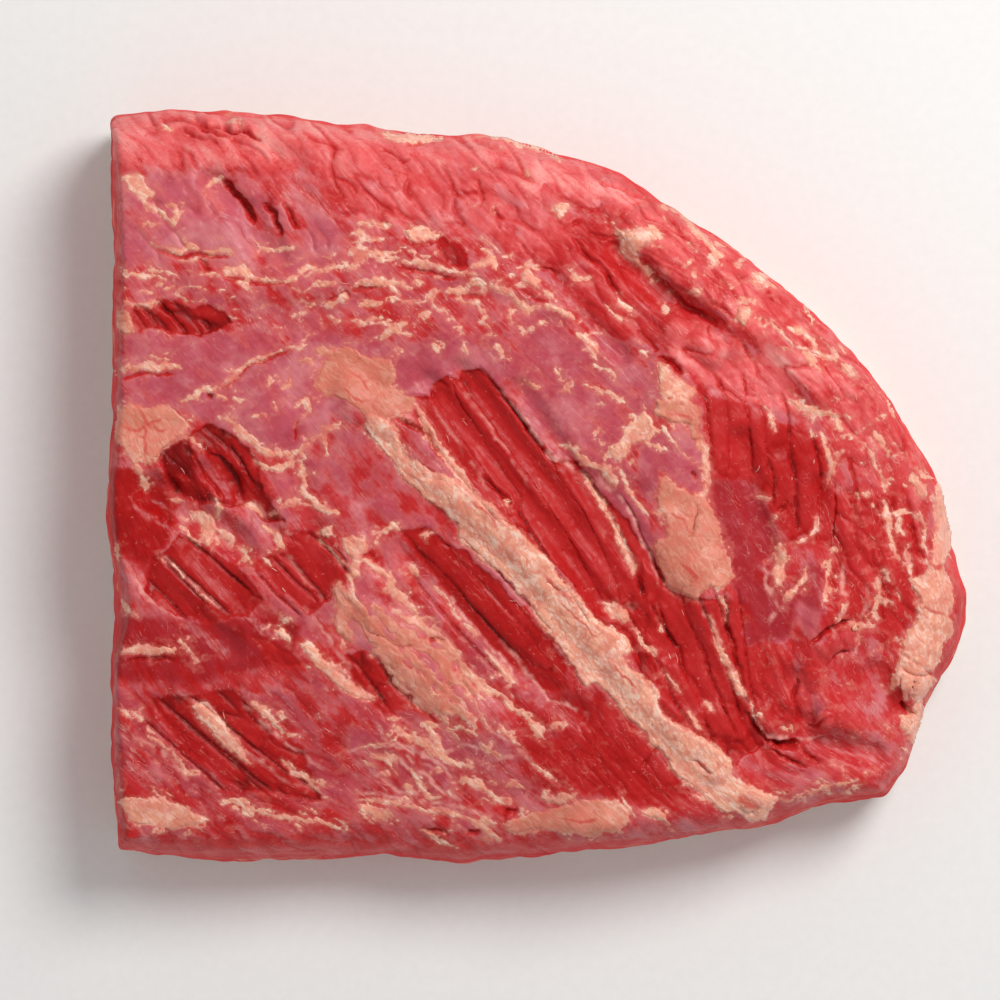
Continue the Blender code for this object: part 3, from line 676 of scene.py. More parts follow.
# Where fine loose fibres of fat and film lie: a middle in pixels, a reach in pixels and how many.
SHREDS = [
    ((388, 436), 20, 4), ((420, 700), 22, 2), ((450, 705), 26, 3), ((470, 420), 34, 3), ((560, 500), 60, 4),
    ((700, 650), 50, 4), ((790, 480), 45, 4), ((880, 560), 40, 4), ((200, 470), 40, 3), ((205, 585), 40, 3),
    ((300, 575), 34, 2), ((480, 600), 50, 4), ((420, 770), 60, 4), ((180, 320), 38, 3), ((380, 275), 60, 4),
    ((520, 270), 60, 4), ((830, 370), 50, 4), ((860, 700), 50, 3), ((160, 210), 40, 2), ((900, 450), 40, 3),
    ((270, 730), 60, 4), ((640, 760), 50, 2), ((610, 560), 40, 2), ((760, 700), 36, 2),
]

# Crumbs of fat and meat on the lean side: a middle in pixels, a reach in pixels and how many.
CRUMBS = [
    ((858, 628), 6, 2), ((750, 802), 8, 2), ((508, 503), 5, 2),
]

# The corners of the maps in the photo, in pixels.
MAP_LOW = (90, 80)
MAP_HIGH = (990, 890)

# How far inside fat a place without any is, in millimetres.
NO_FAT = -9.0

# How deep the underside of the fat lies in the meat, in millimetres.
FAT_ROOT = 1.2

# How long loose fibres are and the radii of fibres and crumbs, from least to most, in millimetres.
FIBRE_LENGTHS = (1.2, 4)
FIBRE_RADII = (0.1, 0.22)
CRUMB_RADII = (0.5, 1.5)

# How upright the meat's surface has to be for fat, a fibre or a crumb to lie on it.
FAT_UPRIGHT = 0.15
FIBRE_UPRIGHT = 0.3
CRUMB_UPRIGHT = 0.2

# What the meat's material reads of the maps, hollow_shade being painted shade in the hollows, and the values
# that the sides of the slab have instead.
MEAT_READS = ("tone", "film", "bundles", "marbling", "hollow_shade", "membrane", "level", "peach", "stain")
SIDE_VALUES = {"film": -0.5, "marbling": 0.1, "membrane": 0, "level": -5}

# Colours that the settings leave alone.
DARKEST_LEAN = (0.2, 0.002, 0.002)
BRIGHT_LEAN = (0.63, 0.055, 0.056)
PALEST_LEAN = (0.88, 0.34, 0.31)
SIDE_RED = (0.72, 0.05, 0.054)
DARK_FILM = (0.36, 0.022, 0.032)
FILM_SHEEN = (0.74, 0.27, 0.28)
FILM_EDGE = (0.74, 0.27, 0.26)
PALE_FIBRE = (0.78, 0.36, 0.30)
PALE_MEMBRANE = (0.80, 0.34, 0.30)
FAT_MOTTLE = (0.68, 0.15, 0.11)
FAT_EDGE = (0.66, 0.13, 0.11)
FAT_VEIN = (0.60, 0.09, 0.07)
BLOOD = (0.58, 0.06, 0.045)
CRUMB_RED = (0.62, 0.1, 0.09)
FLOOR_DARK = (0.80, 0.80, 0.80)
FLOOR_LIGHT = (0.86, 0.86, 0.85)
CAP_STOPS = (
    (0.35, (0.82, 0.60, 0.44)),
    (0.5, (0.80, 0.52, 0.38)),
    (0.57, (0.72, 0.33, 0.27)),
    (0.66, (0.55, 0.10, 0.09)),
)
FIBRE_STOPS = ((0.35, (0.52, 0.07, 0.07)), (0.5, (0.66, 0.18, 0.16)), (0.65, (0.78, 0.38, 0.30)))


@cache
def map_places():
    """Where each cell of the maps is in the photo, in pixels. A cell is one pixel."""
    columns, rows = np.meshgrid(np.arange(MAP_LOW[0], MAP_HIGH[0]), np.arange(MAP_LOW[1], MAP_HIGH[1]))
    return np.stack([columns, rows], axis=-1).astype(float)


def smooth(value, start, end):
    """0 at the start, 1 at the end and a smooth rise between them."""
    share = np.clip((value - start) / (end - start), 0, 1)
    return share * share * (3 - 2 * share)


def lumps(across, along, seed):
    """Smooth noise, mostly between -1 and 1, whose lumps are about 1 apart both ways."""
    size = 256
    slopes = np.random.default_rng(seed).uniform(0, 2 * np.pi, (size, size))
    column = np.floor(across).astype(int)
    row = np.floor(along).astype(int)
    total = np.zeros(np.shape(across))
    for right in (0, 1):
        for down in (0, 1):
            slope = slopes[(column + right) % size, (row + down) % size]
            over = across - column - right
            under = along - row - down
            nearness = smooth(1 - np.abs(over), 0, 1) * smooth(1 - np.abs(under), 0, 1)
            total += nearness * (np.cos(slope) * over + np.sin(slope) * under)
    return 1.6 * total


def blurred(layer, cells):
    """The map with each cell the mean of those within so many cells, twice over."""
    for axis in (0, 1, 0, 1):
        edges = [(0, 0), (0, 0)]
        edges[axis] = (cells + 1, cells)
        sums = np.cumsum(np.pad(layer, edges, mode="edge"), axis=axis)
        width = 2 * cells + 1
        ends = np.take(sums, np.arange(width, sums.shape[axis]), axis=axis)
        starts = np.take(sums, np.arange(sums.shape[axis] - width), axis=axis)
        layer = (ends - starts) / width
    return layer


def window(points, margin):
    """The slices of the maps that hold the points and a margin round them."""
    corners = np.array(points, float)
    low = np.maximum(corners.min(axis=0) - margin - MAP_LOW, 0).astype(int)
    high = np.maximum(corners.max(axis=0) + margin - MAP_LOW, 1).astype(int)
    return slice(low[1], high[1]), slice(low[0], high[0])


def from_line(places, points):
    """How far each place is from the line through the points, and how far along it the nearest one is."""
    steps = [np.array(end, float) - start for start, end in zip(points, points[1:])]
    lengths = [np.hypot(*step) for step in steps]
    nearest = np.full(places.shape[:2], np.inf)
    along = np.zeros(places.shape[:2])
    gone = 0
    for start, step, length in zip(points, steps, lengths):
        share = np.clip((places - start) @ step / length ** 2, 0, 1)
        gap = places - start - share[..., None] * step
        distance = np.hypot(gap[..., 0], gap[..., 1])
        closer = distance < nearest
        nearest = np.where(closer, distance, nearest)
        along = np.where(closer, (gone + share * length) / sum(lengths), along)
        gone += length
    return nearest, along


def near_line(places, points, margin):
    """The cells of the maps near a line, how far each is from it and how far along it."""
    cells = window(points, margin)
    distance, share = from_line(places[cells], points)
    return cells, distance, share


def depth_inside(places, outline):
    """How far each place is inside the outline, and less than 0 outside it."""
    inside = np.zeros(places.shape[:2], bool)
    across, down = places[..., 0], places[..., 1]
    for (x_1, y_1), (x_2, y_2) in zip(outline, outline[1:] + outline[:1]):
        if y_1 != y_2:
            crosses = x_1 + (down - y_1) * (x_2 - x_1) / (y_2 - y_1)
            inside ^= ((down < y_1) != (down < y_2)) & (across < crosses)
    distance, _ = from_line(places, outline + outline[:1])
    return np.where(inside, distance, -distance)


def tapered(along, share=0.25):
    """1 over the middle of a line, falling to 0 at its ends."""
    return np.sqrt(np.clip(np.minimum(along, 1 - along) / share, 0, 1))


@cache
def rough_places():
    """The places of the maps, moved a little so that what is drawn on them gets ragged edges."""
    places = map_places()
    moved = places.copy()
    for reach, size, seed in ((3.0, 22, 11), (1.3, 7, 13), (0.7, 3, 15)):
        for axis in (0, 1):
            moved[..., axis] += reach * lumps(places[..., 0] / size, places[..., 1] / size, seed + axis)
    return moved


def grain_slopes(places):
    """The direction of the fibres at each place, as a unit vector in the photo."""
    total = np.zeros(places.shape)
    for place, slope in GRAIN:
        gap = places - place
        weight = 1 / (gap[..., 0] ** 2 + gap[..., 1] ** 2 + 400) ** 1.5
        direction = np.array((math.cos(math.radians(slope)), math.sin(math.radians(slope))))
        total += weight[..., None] * direction
    return total / np.linalg.norm(total, axis=-1, keepdims=True)


@cache
def grain_maps():
    """Two maps in millimetres: how far along the fibres each place is, and how far across them.

    Each is the surface whose slope fits the fibres best, solved on a coarse grid and drawn finely.
    """
    spacing = 20
    across = np.arange(MAP_LOW[0], MAP_HIGH[0] + spacing, spacing)
    down = np.arange(MAP_LOW[1], MAP_HIGH[1] + spacing, spacing)
    nodes = np.arange(len(across) * len(down)).reshape(len(down), len(across))
    places = np.stack(np.meshgrid(across, down), axis=-1).astype(float)
    slopes = grain_slopes(places)
    fits = np.zeros((nodes.size, nodes.size))
    wanted = np.zeros((2, nodes.size))
    neighbours = ((nodes[:, :-1], nodes[:, 1:], 0), (nodes[:-1], nodes[1:], 1))
    for first, second, axis in neighbours:
        one, other = first.ravel(), second.ravel()
        flat = slopes.reshape(-1, 2)
        mean = (flat[one] + flat[other]) / 2 * spacing * MM_PER_PIXEL
        rises = (mean[:, axis], mean[:, 1] if axis == 0 else -mean[:, 0])
        np.add.at(fits, (one, one), 1)
        np.add.at(fits, (other, other), 1)
        np.add.at(fits, (one, other), -1)
        np.add.at(fits, (other, one), -1)
        for layer, rise in zip(wanted, rises):
            np.add.at(layer, other, rise)
            np.add.at(layer, one, -rise)
    fits[0, 0] += 1
    coarse = np.linalg.solve(fits, wanted.T).T.reshape(2, len(down), len(across))
    fine = (map_places() - (across[0], down[0])) / spacing
    return tuple(between_cells(layer, fine[..., 0], fine[..., 1]) for layer in coarse)


def spots(size, seed, height=None, sway=0):
    """Smooth noise over the maps, its lumps about so many millimetres apart across and down the photo."""
    flat = map_places() * MM_PER_PIXEL
    return lumps(flat[..., 0] / size, (flat[..., 1] + sway) / (height or size), seed)


def strands(width, length, seed, sway=0):
    """Smooth noise over the maps, its lumps so many millimetres wide and long, along the fibres."""
    along, across = grain_maps()
    return lumps(across / width + sway, along / length, seed)


def between_cells(layer, column, row):
    """The map's value at places between its cells."""
    column = np.clip(column, 0, layer.shape[1] - 1.001)
    row = np.clip(row, 0, layer.shape[0] - 1.001)
    left, top = column.astype(int), row.astype(int)
    right_share, low_share = column - left, row - top
    upper = layer[top, left] * (1 - right_share) + layer[top, left + 1] * right_share
    lower = layer[top + 1, left] * (1 - right_share) + layer[top + 1, left + 1] * right_share
    return upper * (1 - low_share) + lower * low_share


@cache
def lean_maps():
    """The maps of the lean side: its colours' layers, and its broad and fine relief in millimetres."""
    layers = area_maps(rough_places())
    broad = spots(24, 25)
    small = spots(7, 27)
    rim = smooth(layers["tone"], 0.2, 0.5)
    layers["relief"] = 0.5 * broad + 0.3 * small - layers.pop("sink")
    add_bundles(layers, broad, small)
    add_rim(layers, rim, small)
    add_rods(layers)
    add_lines(layers)
    # hollow_shade: how far each place lies below the relief round it, which the meat's material paints as
    # shade
    whole = layers["relief"] + layers["fine"]
    layers["hollow_shade"] = np.clip((blurred(whole, 5) - whole) / 1.2, 0, 1)
    return layers


def area_maps(places):
    """The layers that the drawn parts of the lean side give, each part laid over those before it."""
    layers = {name: np.full(places.shape[:2], float(PLAIN_LEAN[name]))
              for name in ("tone", "film", "bundles", "marbling", "sink")}
    for part in AREAS:
        cells = window(part["outline"], 4 * part["soft"])
        depth = depth_inside(places[cells], part["outline"])
        share = smooth(depth, -part["soft"], part["soft"])
        for name, layer in layers.items():
            layer[cells] += share * (part[name] - layer[cells])
    return layers


def add_bundles(layers, broad, small):
    """Adds bundles of muscle with gaps between them, painted lighter on their crowns and darker in the gaps
    as painted light and shade, and tears the film along them.
    """
    wide = np.abs(strands(4.4, 17, 21, 0.25 * small))
    pillows = smooth(wide, 0, 0.5)
    gaps = 1 - smooth(wide, 0, 0.13)
    fine_gaps = 1 - smooth(np.abs(strands(1.6, 9, 23)), 0, 0.3)
    knots = strands(2.4, 7.5, 24, 0.4 * small)
    torn = strands(4.5, 12, 43) + 0.5 * strands(1.4, 4, 44)
    layers["film"] += 0.3 * torn - 0.5
    cover = smooth(layers["film"], -0.05, 0.12)
    bundles = layers["bundles"]
    calm = 1 - drawn_rods()["near"]
    grainy = bundles * (0.5 * pillows - 0.35 * gaps + 0.25 * knots) * (1 - 0.5 * cover)
    layers["fine"] = calm * (grainy - 0.08 * fine_gaps * bundles + 0.08 * cover) + 0.1 * spots(2.2, 29)
    # Painted light and shade: lighter on the bundles' crowns and knots, darker in the gaps between them.
    shade = bundles * (0.35 * pillows - 0.5 * gaps + 0.35 * knots - 0.15 - 0.15 * fine_gaps)
    layers["tone"] += 0.1 * broad + 0.1 * small + calm * shade


def add_rim(layers, rim, small):
    """Adds the cracks of the light rim with painted shade in them, painted highlights on the shoulders beside
    them, and pale streaks.
    """
    folds = np.abs(strands(7.5, 26, 61, 0.3 * small))
    broken = smooth(spots(14, 63), -0.35, 0.15)
    crack = rim * broken * (1 - smooth(folds, 0, 0.09))
    lit_shoulder = rim * broken * smooth(folds, 0.08, 0.16) * (1 - smooth(folds, 0.16, 0.4))
    pale = rim * smooth(strands(5.5, 15, 65), 0.1, 0.6)
    layers["relief"] += rim * 0.35 * smooth(folds, 0, 0.5) - 0.6 * crack
    # Painted shade in the cracks and painted highlights on the shoulders beside them.
    layers["tone"] += 0.35 * pale + 0.25 * lit_shoulder - 0.5 * crack


def add_rods(layers):
    """Adds the bare round bundles, with streaks along them, a painted highlight on their crowns and painted
    shade in the lines between them.
    """
    rods = drawn_rods()
    streaks = strands(0.9, 30, 45) + 0.7 * strands(2.2, 40, 46)
    layers["relief"] += rods["near"] * (0.9 * rods["crown"] - 0.4) - 0.45 * rods["line"]
    # A painted highlight on each crown, and painted shade in the lines between the bundles.
    layers["tone"] += rods["near"] * (0.25 * rods["crown"] - 0.18 + 0.14 * streaks)
    layers["tone"] -= 0.9 * rods["line"]


def add_lines(layers):
    """Adds what is drawn as lines: the creases with painted shade in them, the rolls and the membranes."""
    places = rough_places()
    for (depth, width), lines in CREASES.items():
        for points in lines:
            cells, distance, share = near_line(places, points, width)
            cut = (1 - smooth(distance, 0, 0.5 * width)) * tapered(share)
            layers["relief"][cells] -= depth * cut
            # Painted shade in the creases, deeper ones darker.
            layers["tone"][cells] -= min(0.4 * depth, 0.7) * cut
            layers["film"][cells] -= cut
    for height, width, points in ROLLS:
        cells, distance, share = near_line(places, points, width)
        rounded = np.sqrt(np.clip(1 - (2 * distance / width) ** 2, 0, 1))
        layers["relief"][cells] += height * rounded * tapered(share)
    uneven = places + 2.5 * np.stack((spots(5, 51), spots(5, 52)), axis=-1)
    ragged = smooth(spots(3, 53), -0.6, 0.2)
    layers["membrane"] = np.zeros(places.shape[:2])
    for strength, lines in MEMBRANES.items():
        for points in lines:
            cells, distance, share = near_line(uneven, points, 10)
            thin = strength * (1 - smooth(distance, 0.6, 2.9)) * tapered(share) * ragged[cells]
            layers["membrane"][cells] = np.maximum(layers["membrane"][cells], thin)


@cache
def drawn_rods():
    """Maps of the bare round bundles: where they are, how high their crowns are and the lines between."""
    places = map_places() + 0.3 * (rough_places() - map_places())
    shape = places.shape[:2]
    near, crown, second = np.zeros(shape), np.zeros(shape), np.zeros(shape)
    for width, lines in RODS.items():
        for points in lines:
            cells, distance, share = near_line(places, points, width)
            across = distance / (0.5 * width)
            length = sum(math.dist(start, end) for start, end in zip(points, points[1:]))
            ends = tapered(share, 0.45 * width / length)
            bulge = np.clip(1 - across ** 4, 0, 1) ** 0.6 * ends
            second[cells] = np.maximum(second[cells], np.minimum(crown[cells], bulge))
            crown[cells] = np.maximum(crown[cells], bulge)
            near[cells] = np.maximum(near[cells], (1 - smooth(across, 1.0, 1.25)) * ends)
    line = near * (1 - smooth(crown - second, 0, 0.11))
    return {"near": near, "crown": crown, "line": line}


def marbling_level(near_fat):
    """How far inside its edge the fine marbling is, in millimetres, where there is any.

    There is some where the lean side is marbled and round the drawn fat, which near_fat says. It wanders
    from left to right over the top left of the slab and follows the fibres elsewhere.
    """
    places = map_places()
    top_left = smooth(680 - places[..., 0], 0, 60) * smooth(370 - places[..., 1], 0, 30)
    level = 0.42 - 2.0 * np.abs(spots(8, 53, height=3.2, sway=2.5 * spots(9, 51)))
    grained = 0.36 - 1.5 * np.abs(strands(2.6, 13, 55))
    veins = grained + top_left * (level - grained) + 0.45 * spots(1.3, 59, height=1.0)
    patches = smooth(spots(5, 57, height=3), -0.25, 0.35)
    share = np.clip(1.15 * lean_maps()["marbling"] + 0.55 * near_fat, 0, 1) * (1 - drawn_rods()["near"])
    return veins - 1.6 * (1 - patches) - 1.5 * (1 - share)


def drawn_fat(places):
    """The level, thickness and peach of the drawn patches and strands of fat, of the nearest one."""
    layers = {name: np.zeros(places.shape[:2]) for name in ("level", "thickness", "peach")}
    layers["level"] += NO_FAT
    uneven = lumps(places[..., 0] / 9, places[..., 1] / 9, 71)
    shapes = []
    for peach, thickness, outline in FAT_PATCHES:
        cells = window(outline, 12)
        shapes.append((cells, depth_inside(places[cells], outline), thickness, peach))
    for (peach, width), lines in FAT_STRANDS.items():
        for points in lines:
            cells, distance, share = near_line(places, points, width + 8)
            half_width = 0.5 * width * (0.4 + 0.6 * tapered(share, 0.3)) * (1 + 0.5 * uneven[cells])
            shapes.append((cells, half_width - distance, 0.14 + 0.025 * width, peach))
    for cells, depth, thickness, peach in shapes:
        level = depth * MM_PER_PIXEL
        nearer = level > layers["level"][cells]
        for name, value in (("level", level), ("thickness", thickness), ("peach", peach)):
            layers[name][cells] = np.where(nearer, value, layers[name][cells])
    return layers


@cache
def fat_maps():
    """The maps of the fat: how far inside its edge in millimetres, how thick, how orange and how stained."""
    places = rough_places()
    layers = drawn_fat(places)
    level = layers["level"] + 0.5 * strands(1.1, 3.4, 31) + 0.35 * spots(0.9, 33)
    marbling = marbling_level(smooth(layers["level"], -5.0, -1.0))
    veined = marbling > level
    layers["level"] = np.maximum(level, marbling)
    layers["thickness"] = np.where(veined, 0.18, 0.6 * layers["thickness"])
    layers["peach"] = np.where(veined, 0.0, layers["peach"])
    lobes = 1 - smooth(np.abs(spots(7, 36)), 0, 0.07)
    strips = 0.8 * (1 - smooth(np.abs(strands(3.6, 18, 38)), 0, 0.08))
    folds = np.maximum(lobes, strips)
    layers["thickness"] *= 1 + 0.4 * spots(5.0, 35)
    layers["thickness"] *= 1 - 0.35 * folds
    layers["stain"] = 0.6 * folds * smooth(spots(9, 40), -0.4, 0.3)
    layers["peach"] = blurred(layers["peach"], 3) + 0.25 * spots(6, 39)
    for width, lines in STAINS.items():
        for points in lines:
            cells, distance, share = near_line(places, points, width)
            spot = 0.9 * (1 - smooth(distance, 0, 0.6 * width)) * tapered(share)
            layers["stain"][cells] = np.maximum(layers["stain"][cells], spot)
    return layers


def pixel_size(height):
    """How many metres one pixel of the photo covers at that height."""
    sizes = bpy.context.scene.brisket_stage
    share = (sizes.camera_height - height) / (sizes.camera_height - sizes.outline_height)
    return share * MM * MM_PER_PIXEL


def photo_places(points):
    """Where points of the slab, in metres, are seen in the photo, in pixels."""
    size = pixel_size(points[:, 2])
    across = PHOTO_MIDDLE[0] + (points[:, 0] - MIDDLE_X) / size
    down = PHOTO_MIDDLE[1] - (points[:, 1] - MIDDLE_Y) / size
    return across, down


def under_pixels(across, down, height):
    """Places in metres at one height that are seen at those pixels of the photo."""
    size = pixel_size(height)
    x = MIDDLE_X + (across - PHOTO_MIDDLE[0]) * size
    y = MIDDLE_Y - (down - PHOTO_MIDDLE[1]) * size
    return x, y


def at_places(layer, across, down):
    """The map's value at places of the photo, in pixels."""
    return between_cells(layer, across - MAP_LOW[0], down - MAP_LOW[1])


def new_piece(name, mesh, material):
    """An object that shows the mesh, rides on the slab's body and wears the material given."""
    piece = bpy.data.objects.new(name, mesh)
    bpy.context.scene.collection.objects.link(piece)
    mesh.materials.clear()
    mesh.materials.append(material)
    mesh.shade_smooth()
    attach(piece, "root")
    return piece


def mesh_from(name, points, faces):
    """A mesh of the points and faces."""
    mesh = bpy.data.meshes.new(name)
    mesh.from_pydata([tuple(point) for point in points], [], [tuple(face) for face in faces])
    mesh.validate()
    mesh.update()
    return mesh


def modified(mesh, *steps):
    """The mesh after modifiers, each given as a type and a dict of its settings."""
    holder = bpy.data.objects.new("holder", mesh)
    bpy.context.scene.collection.objects.link(holder)
    for kind, settings in steps:
        modifier = holder.modifiers.new(kind.lower(), kind)
        for name, value in settings.items():
            setattr(modifier, name, value)
    seen = holder.evaluated_get(bpy.context.evaluated_depsgraph_get())
    changed = bpy.data.meshes.new_from_object(seen)
    bpy.data.objects.remove(holder)
    return changed


def points_of(mesh):
    """The mesh's points and normals."""
    points = np.empty(3 * len(mesh.vertices), np.float32)
    normals = np.empty(3 * len(mesh.vertices), np.float32)
    mesh.vertices.foreach_get("co", points)
    mesh.vertices.foreach_get("normal", normals)
    return points.reshape(-1, 3).astype(float), normals.reshape(-1, 3).astype(float)


def move_points(mesh, points):
    """Puts the mesh's points there."""
    mesh.vertices.foreach_set("co", points.astype(np.float32).ravel())
    mesh.update()


def store(mesh, name, values):
    """Keeps a value, or a vector, for each of the mesh's points, for its material."""
    vectors = values.ndim == 2
    layer = mesh.attributes.new(name, "FLOAT_VECTOR" if vectors else "FLOAT", "POINT")
    layer.data.foreach_set("vector" if vectors else "value", values.astype(np.float32).ravel())


def solid_lumps(points, size, seed):
    """Smooth noise from -1 to 1 in space at the points, whose lumps are about that size."""
    offset = Vector((seed * 7.3, seed * 3.1, seed * 5.7))
    return np.array([noise.noise(Vector(point) / size + offset) for point in points])


def grain_at(across, down, height):
    """A vector for each point, in millimetres: along the fibres, across them and up."""
    along, over = (at_places(layer, across, down) for layer in grain_maps())
    return np.stack([along, over, height / MM], axis=-1)


def divided_slab(cell):
    """The CAD slab's surface in small even faces, twice as fine on the lean side as elsewhere."""
    mesh = modified(
        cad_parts["brisket"].data.copy(),
        ("REMESH", {"mode": "VOXEL", "voxel_size": 2 * cell, "adaptivity": 0}),
        ("SMOOTH", {"factor": 0.5, "iterations": 6}),
    )
    made = bmesh.new()
    made.from_mesh(mesh)
    made.normal_update()
    lean = [face for face in made.faces if face.normal.z > 0.1]
    edges = {edge for face in lean for edge in face.edges}
    bmesh.ops.subdivide_edges(made, edges=list(edges), cuts=1, use_grid_fill=True)
    made.to_mesh(mesh)
    made.free()
    return modified(mesh, ("SMOOTH", {"factor": 0.5, "iterations": 3}))


def cell_of(sizes):
    return sizes.cell * 1


def dressed_slab(sizes):
    """The slab's mesh with the relief of the lean side, the sides' lumps and what its material reads."""
    mesh = divided_slab(cell_of(sizes))
    points, normals = points_of(mesh)
    maps = {**lean_maps(), **fat_maps()}
    across, down = photo_places(points)
    lean_share = smooth(normals[:, 2], 0.0, 0.5)
    resting = smooth(-normals[:, 2], 0.3, 0.8)
    level = at_places(maps["level"], across, down)
    bare = 1 - 0.85 * smooth(level, -0.2, 0.8)
    relief = at_places(maps["relief"], across, down) + bare * at_places(maps["fine"], across, down)
    rise = lean_share * relief * MM * sizes.relief
    wall = (1 - lean_share) * (1 - resting)
    broad = solid_lumps(points, 22 * MM, 1)
    small = solid_lumps(points, 6 * MM, 2)
    layered = solid_lumps(points * (1, 1, 4), 16 * MM, 3)
    rise += wall * (1.2 * broad + 0.8 * small + 0.9 * np.abs(layered)) * MM
    points += normals * rise[:, None]
    points[:, 2] = np.maximum(points[:, 2], 0)
    move_points(mesh, points)

    height = points[:, 2] / MM
    cap_top = sizes.cap_height / MM + 2.5 * broad + 1.2 * small
    sides = smooth(1 - lean_share, 0.5, 1.0)
    side_values = {"tone": 0.3 + 0.5 * layered + 0.3 * small, **SIDE_VALUES}
    for name in MEAT_READS:
        values = at_places(maps[name], across, down)
        if name in side_values:
            values = values + 0.85 * sides * (side_values[name] - values)
        store(mesh, name, values)
    store(mesh, "wall", 1 - lean_share)
    store(mesh, "cap", smooth(cap_top - height, -0.6, 0.6))
    store(mesh, "grain", grain_at(across, down, points[:, 2]))
    return mesh


def slab_tree():
    """The dressed slab as a tree to cast rays at."""
    slab = bpy.data.objects["lean_slab"]
    made = bmesh.new()
    made.from_mesh(slab.data)
    tree = BVHTree.FromBMesh(made)
    made.free()
    return tree


def laid_on(tree, across, down):
    """The point of the slab that is seen at that pixel of the photo and its normal, or None, None."""
    x, y = under_pixels(across, down, HIGH.z)
    eye = Vector((*under_pixels(*PHOTO_MIDDLE, HIGH.z), bpy.context.scene.brisket_stage.camera_height))
    aim = Vector((x, y, HIGH.z)) - eye
    place, normal, _, _ = tree.ray_cast(eye, aim.normalized())
    return place, normal


def fat_mesh(sizes):
    """A closed sheet of fat wherever the maps have any, thick in its middle and sunk in at its edges."""
    maps = fat_maps()
    step = cell_of(sizes) / (MM * MM_PER_PIXEL)
    across, down = np.meshgrid(np.arange(MAP_LOW[0] + 2, MAP_HIGH[0] - 2, step),
                               np.arange(MAP_LOW[1] + 2, MAP_HIGH[1] - 2, step))
    level = at_places(maps["level"], across, down)
    tree = slab_tree()
    number = np.full(level.shape, -1)
    tops, unders, seen = [], [], []
    for row, column in zip(*np.nonzero(level > -sizes.edge / MM)):
        place, normal = laid_on(tree, across[row, column], down[row, column])
        if place is None or normal.z < FAT_UPRIGHT:
            continue
        inside = level[row, column]
        thickness = at_places(maps["thickness"], across[row, column], down[row, column])
        rise = 0.04 + thickness * smooth(inside, -0.1, 1.0) - 0.5 * smooth(-inside, -0.15, 0.4)
        number[row, column] = len(tops)
        tops.append(place + normal * rise * MM)
        unders.append(place - normal * FAT_ROOT * MM)
        seen.append((across[row, column], down[row, column]))
    corners = np.stack([number[:-1, :-1], number[1:, :-1], number[1:, 1:], number[:-1, 1:]], axis=-1)
    quads = corners[(corners >= 0).all(axis=-1)]
    count = len(tops)
    directed = np.concatenate([quads[:, [side, (side + 1) % 4]] for side in range(4)])
    there = {(start, end) for start, end in directed.tolist()}
    rim = [(start, end) for start, end in there if (end, start) not in there]
    walls = [(end, start, start + count, end + count) for start, end in sorted(rim)]
    faces = quads.tolist() + (quads[:, ::-1] + count).tolist() + walls
    mesh = mesh_from("fat_seams", tops + unders, faces)
    return mesh, np.array(seen * 2)


def dressed_fat(sizes):
    """The sheet of fat with what its material reads."""
    mesh, seen = fat_mesh(sizes)
    across, down = seen[:, 0], seen[:, 1]
    maps = fat_maps()
    for name in ("level", "peach", "stain"):
        store(mesh, name, at_places(maps[name], across, down))
    points, _ = points_of(mesh)
    store(mesh, "grain", grain_at(across, down, points[:, 2]))
    loose = bmesh.new()
    loose.from_mesh(mesh)
    alone = [point for point in loose.verts if not point.link_faces]
    bmesh.ops.delete(loose, geom=alone, context="VERTS")
    loose.to_mesh(mesh)
    loose.free()
    return mesh


def tube(points, radius, sides=5):
    """The points and faces of a closed thread through the points, thin at both ends."""
    rings, faces = [], []
    for index, point in enumerate(points):
        before = points[max(index - 1, 0)]
        after = points[min(index + 1, len(points) - 1)]
        along = (after - before).normalized()
        side = along.cross(Vector((0, 0, 1))).normalized()
        up = side.cross(along)
        share = index / (len(points) - 1)
        reach = radius * (0.25 + 0.75 * math.sin(math.pi * share) ** 0.5)
        for corner in range(sides):
            turn = 2 * math.pi * corner / sides
            rings.append(point + reach * (math.cos(turn) * side + math.sin(turn) * up))
    for index in range(len(points) - 1):
        for corner in range(sides):
            here, following = index * sides + corner, index * sides + (corner + 1) % sides
            faces.append((here, following, following + sides, here + sides))
    faces.append(tuple(range(sides))[::-1])
    faces.append(tuple(range(len(rings) - sides, len(rings))))
    return rings, faces


def spread(middle, reach, draws):
    """A place in pixels drawn at random within reach of the middle."""
    turn = draws.uniform(0, 2 * math.pi)
    distance = reach * math.sqrt(draws.uniform(0, 1))
    return np.array(middle) + distance * np.array((math.cos(turn), math.sin(turn)))


def shreds_mesh(sizes):
    """Loose fibres of fat and film that follow the grain over the lean side."""
    draws = np.random.default_rng(sizes.seed)
    tree = slab_tree()
    points, faces = [], []
    for middle, reach, count in SHREDS:
        for _ in range(count):
            place = spread(middle, reach, draws)
            lean = math.radians(draws.normal(0, 18))
            length = draws.uniform(*FIBRE_LENGTHS) / MM_PER_PIXEL
            radius = draws.uniform(*FIBRE_RADII) * MM
            steps = 9
            path = []
            for _ in range(steps):
                slope = grain_slopes(place[None, None, :])[0, 0]
                turned = np.array((slope[0] * math.cos(lean) - slope[1] * math.sin(lean),
                                   slope[0] * math.sin(lean) + slope[1] * math.cos(lean)))
                found, normal = laid_on(tree, *place)
                if found is not None and normal.z > FIBRE_UPRIGHT:
                    path.append(found + normal * radius * 0.2)
                place = place + turned * length / steps
                lean += math.radians(draws.normal(0, 9))
            if len(path) == steps:
                ring_points, ring_faces = tube(path, radius)
                faces += [tuple(corner + len(points) for corner in face) for face in ring_faces]
                points += ring_points
    return mesh_from("loose_fibres", points, faces)


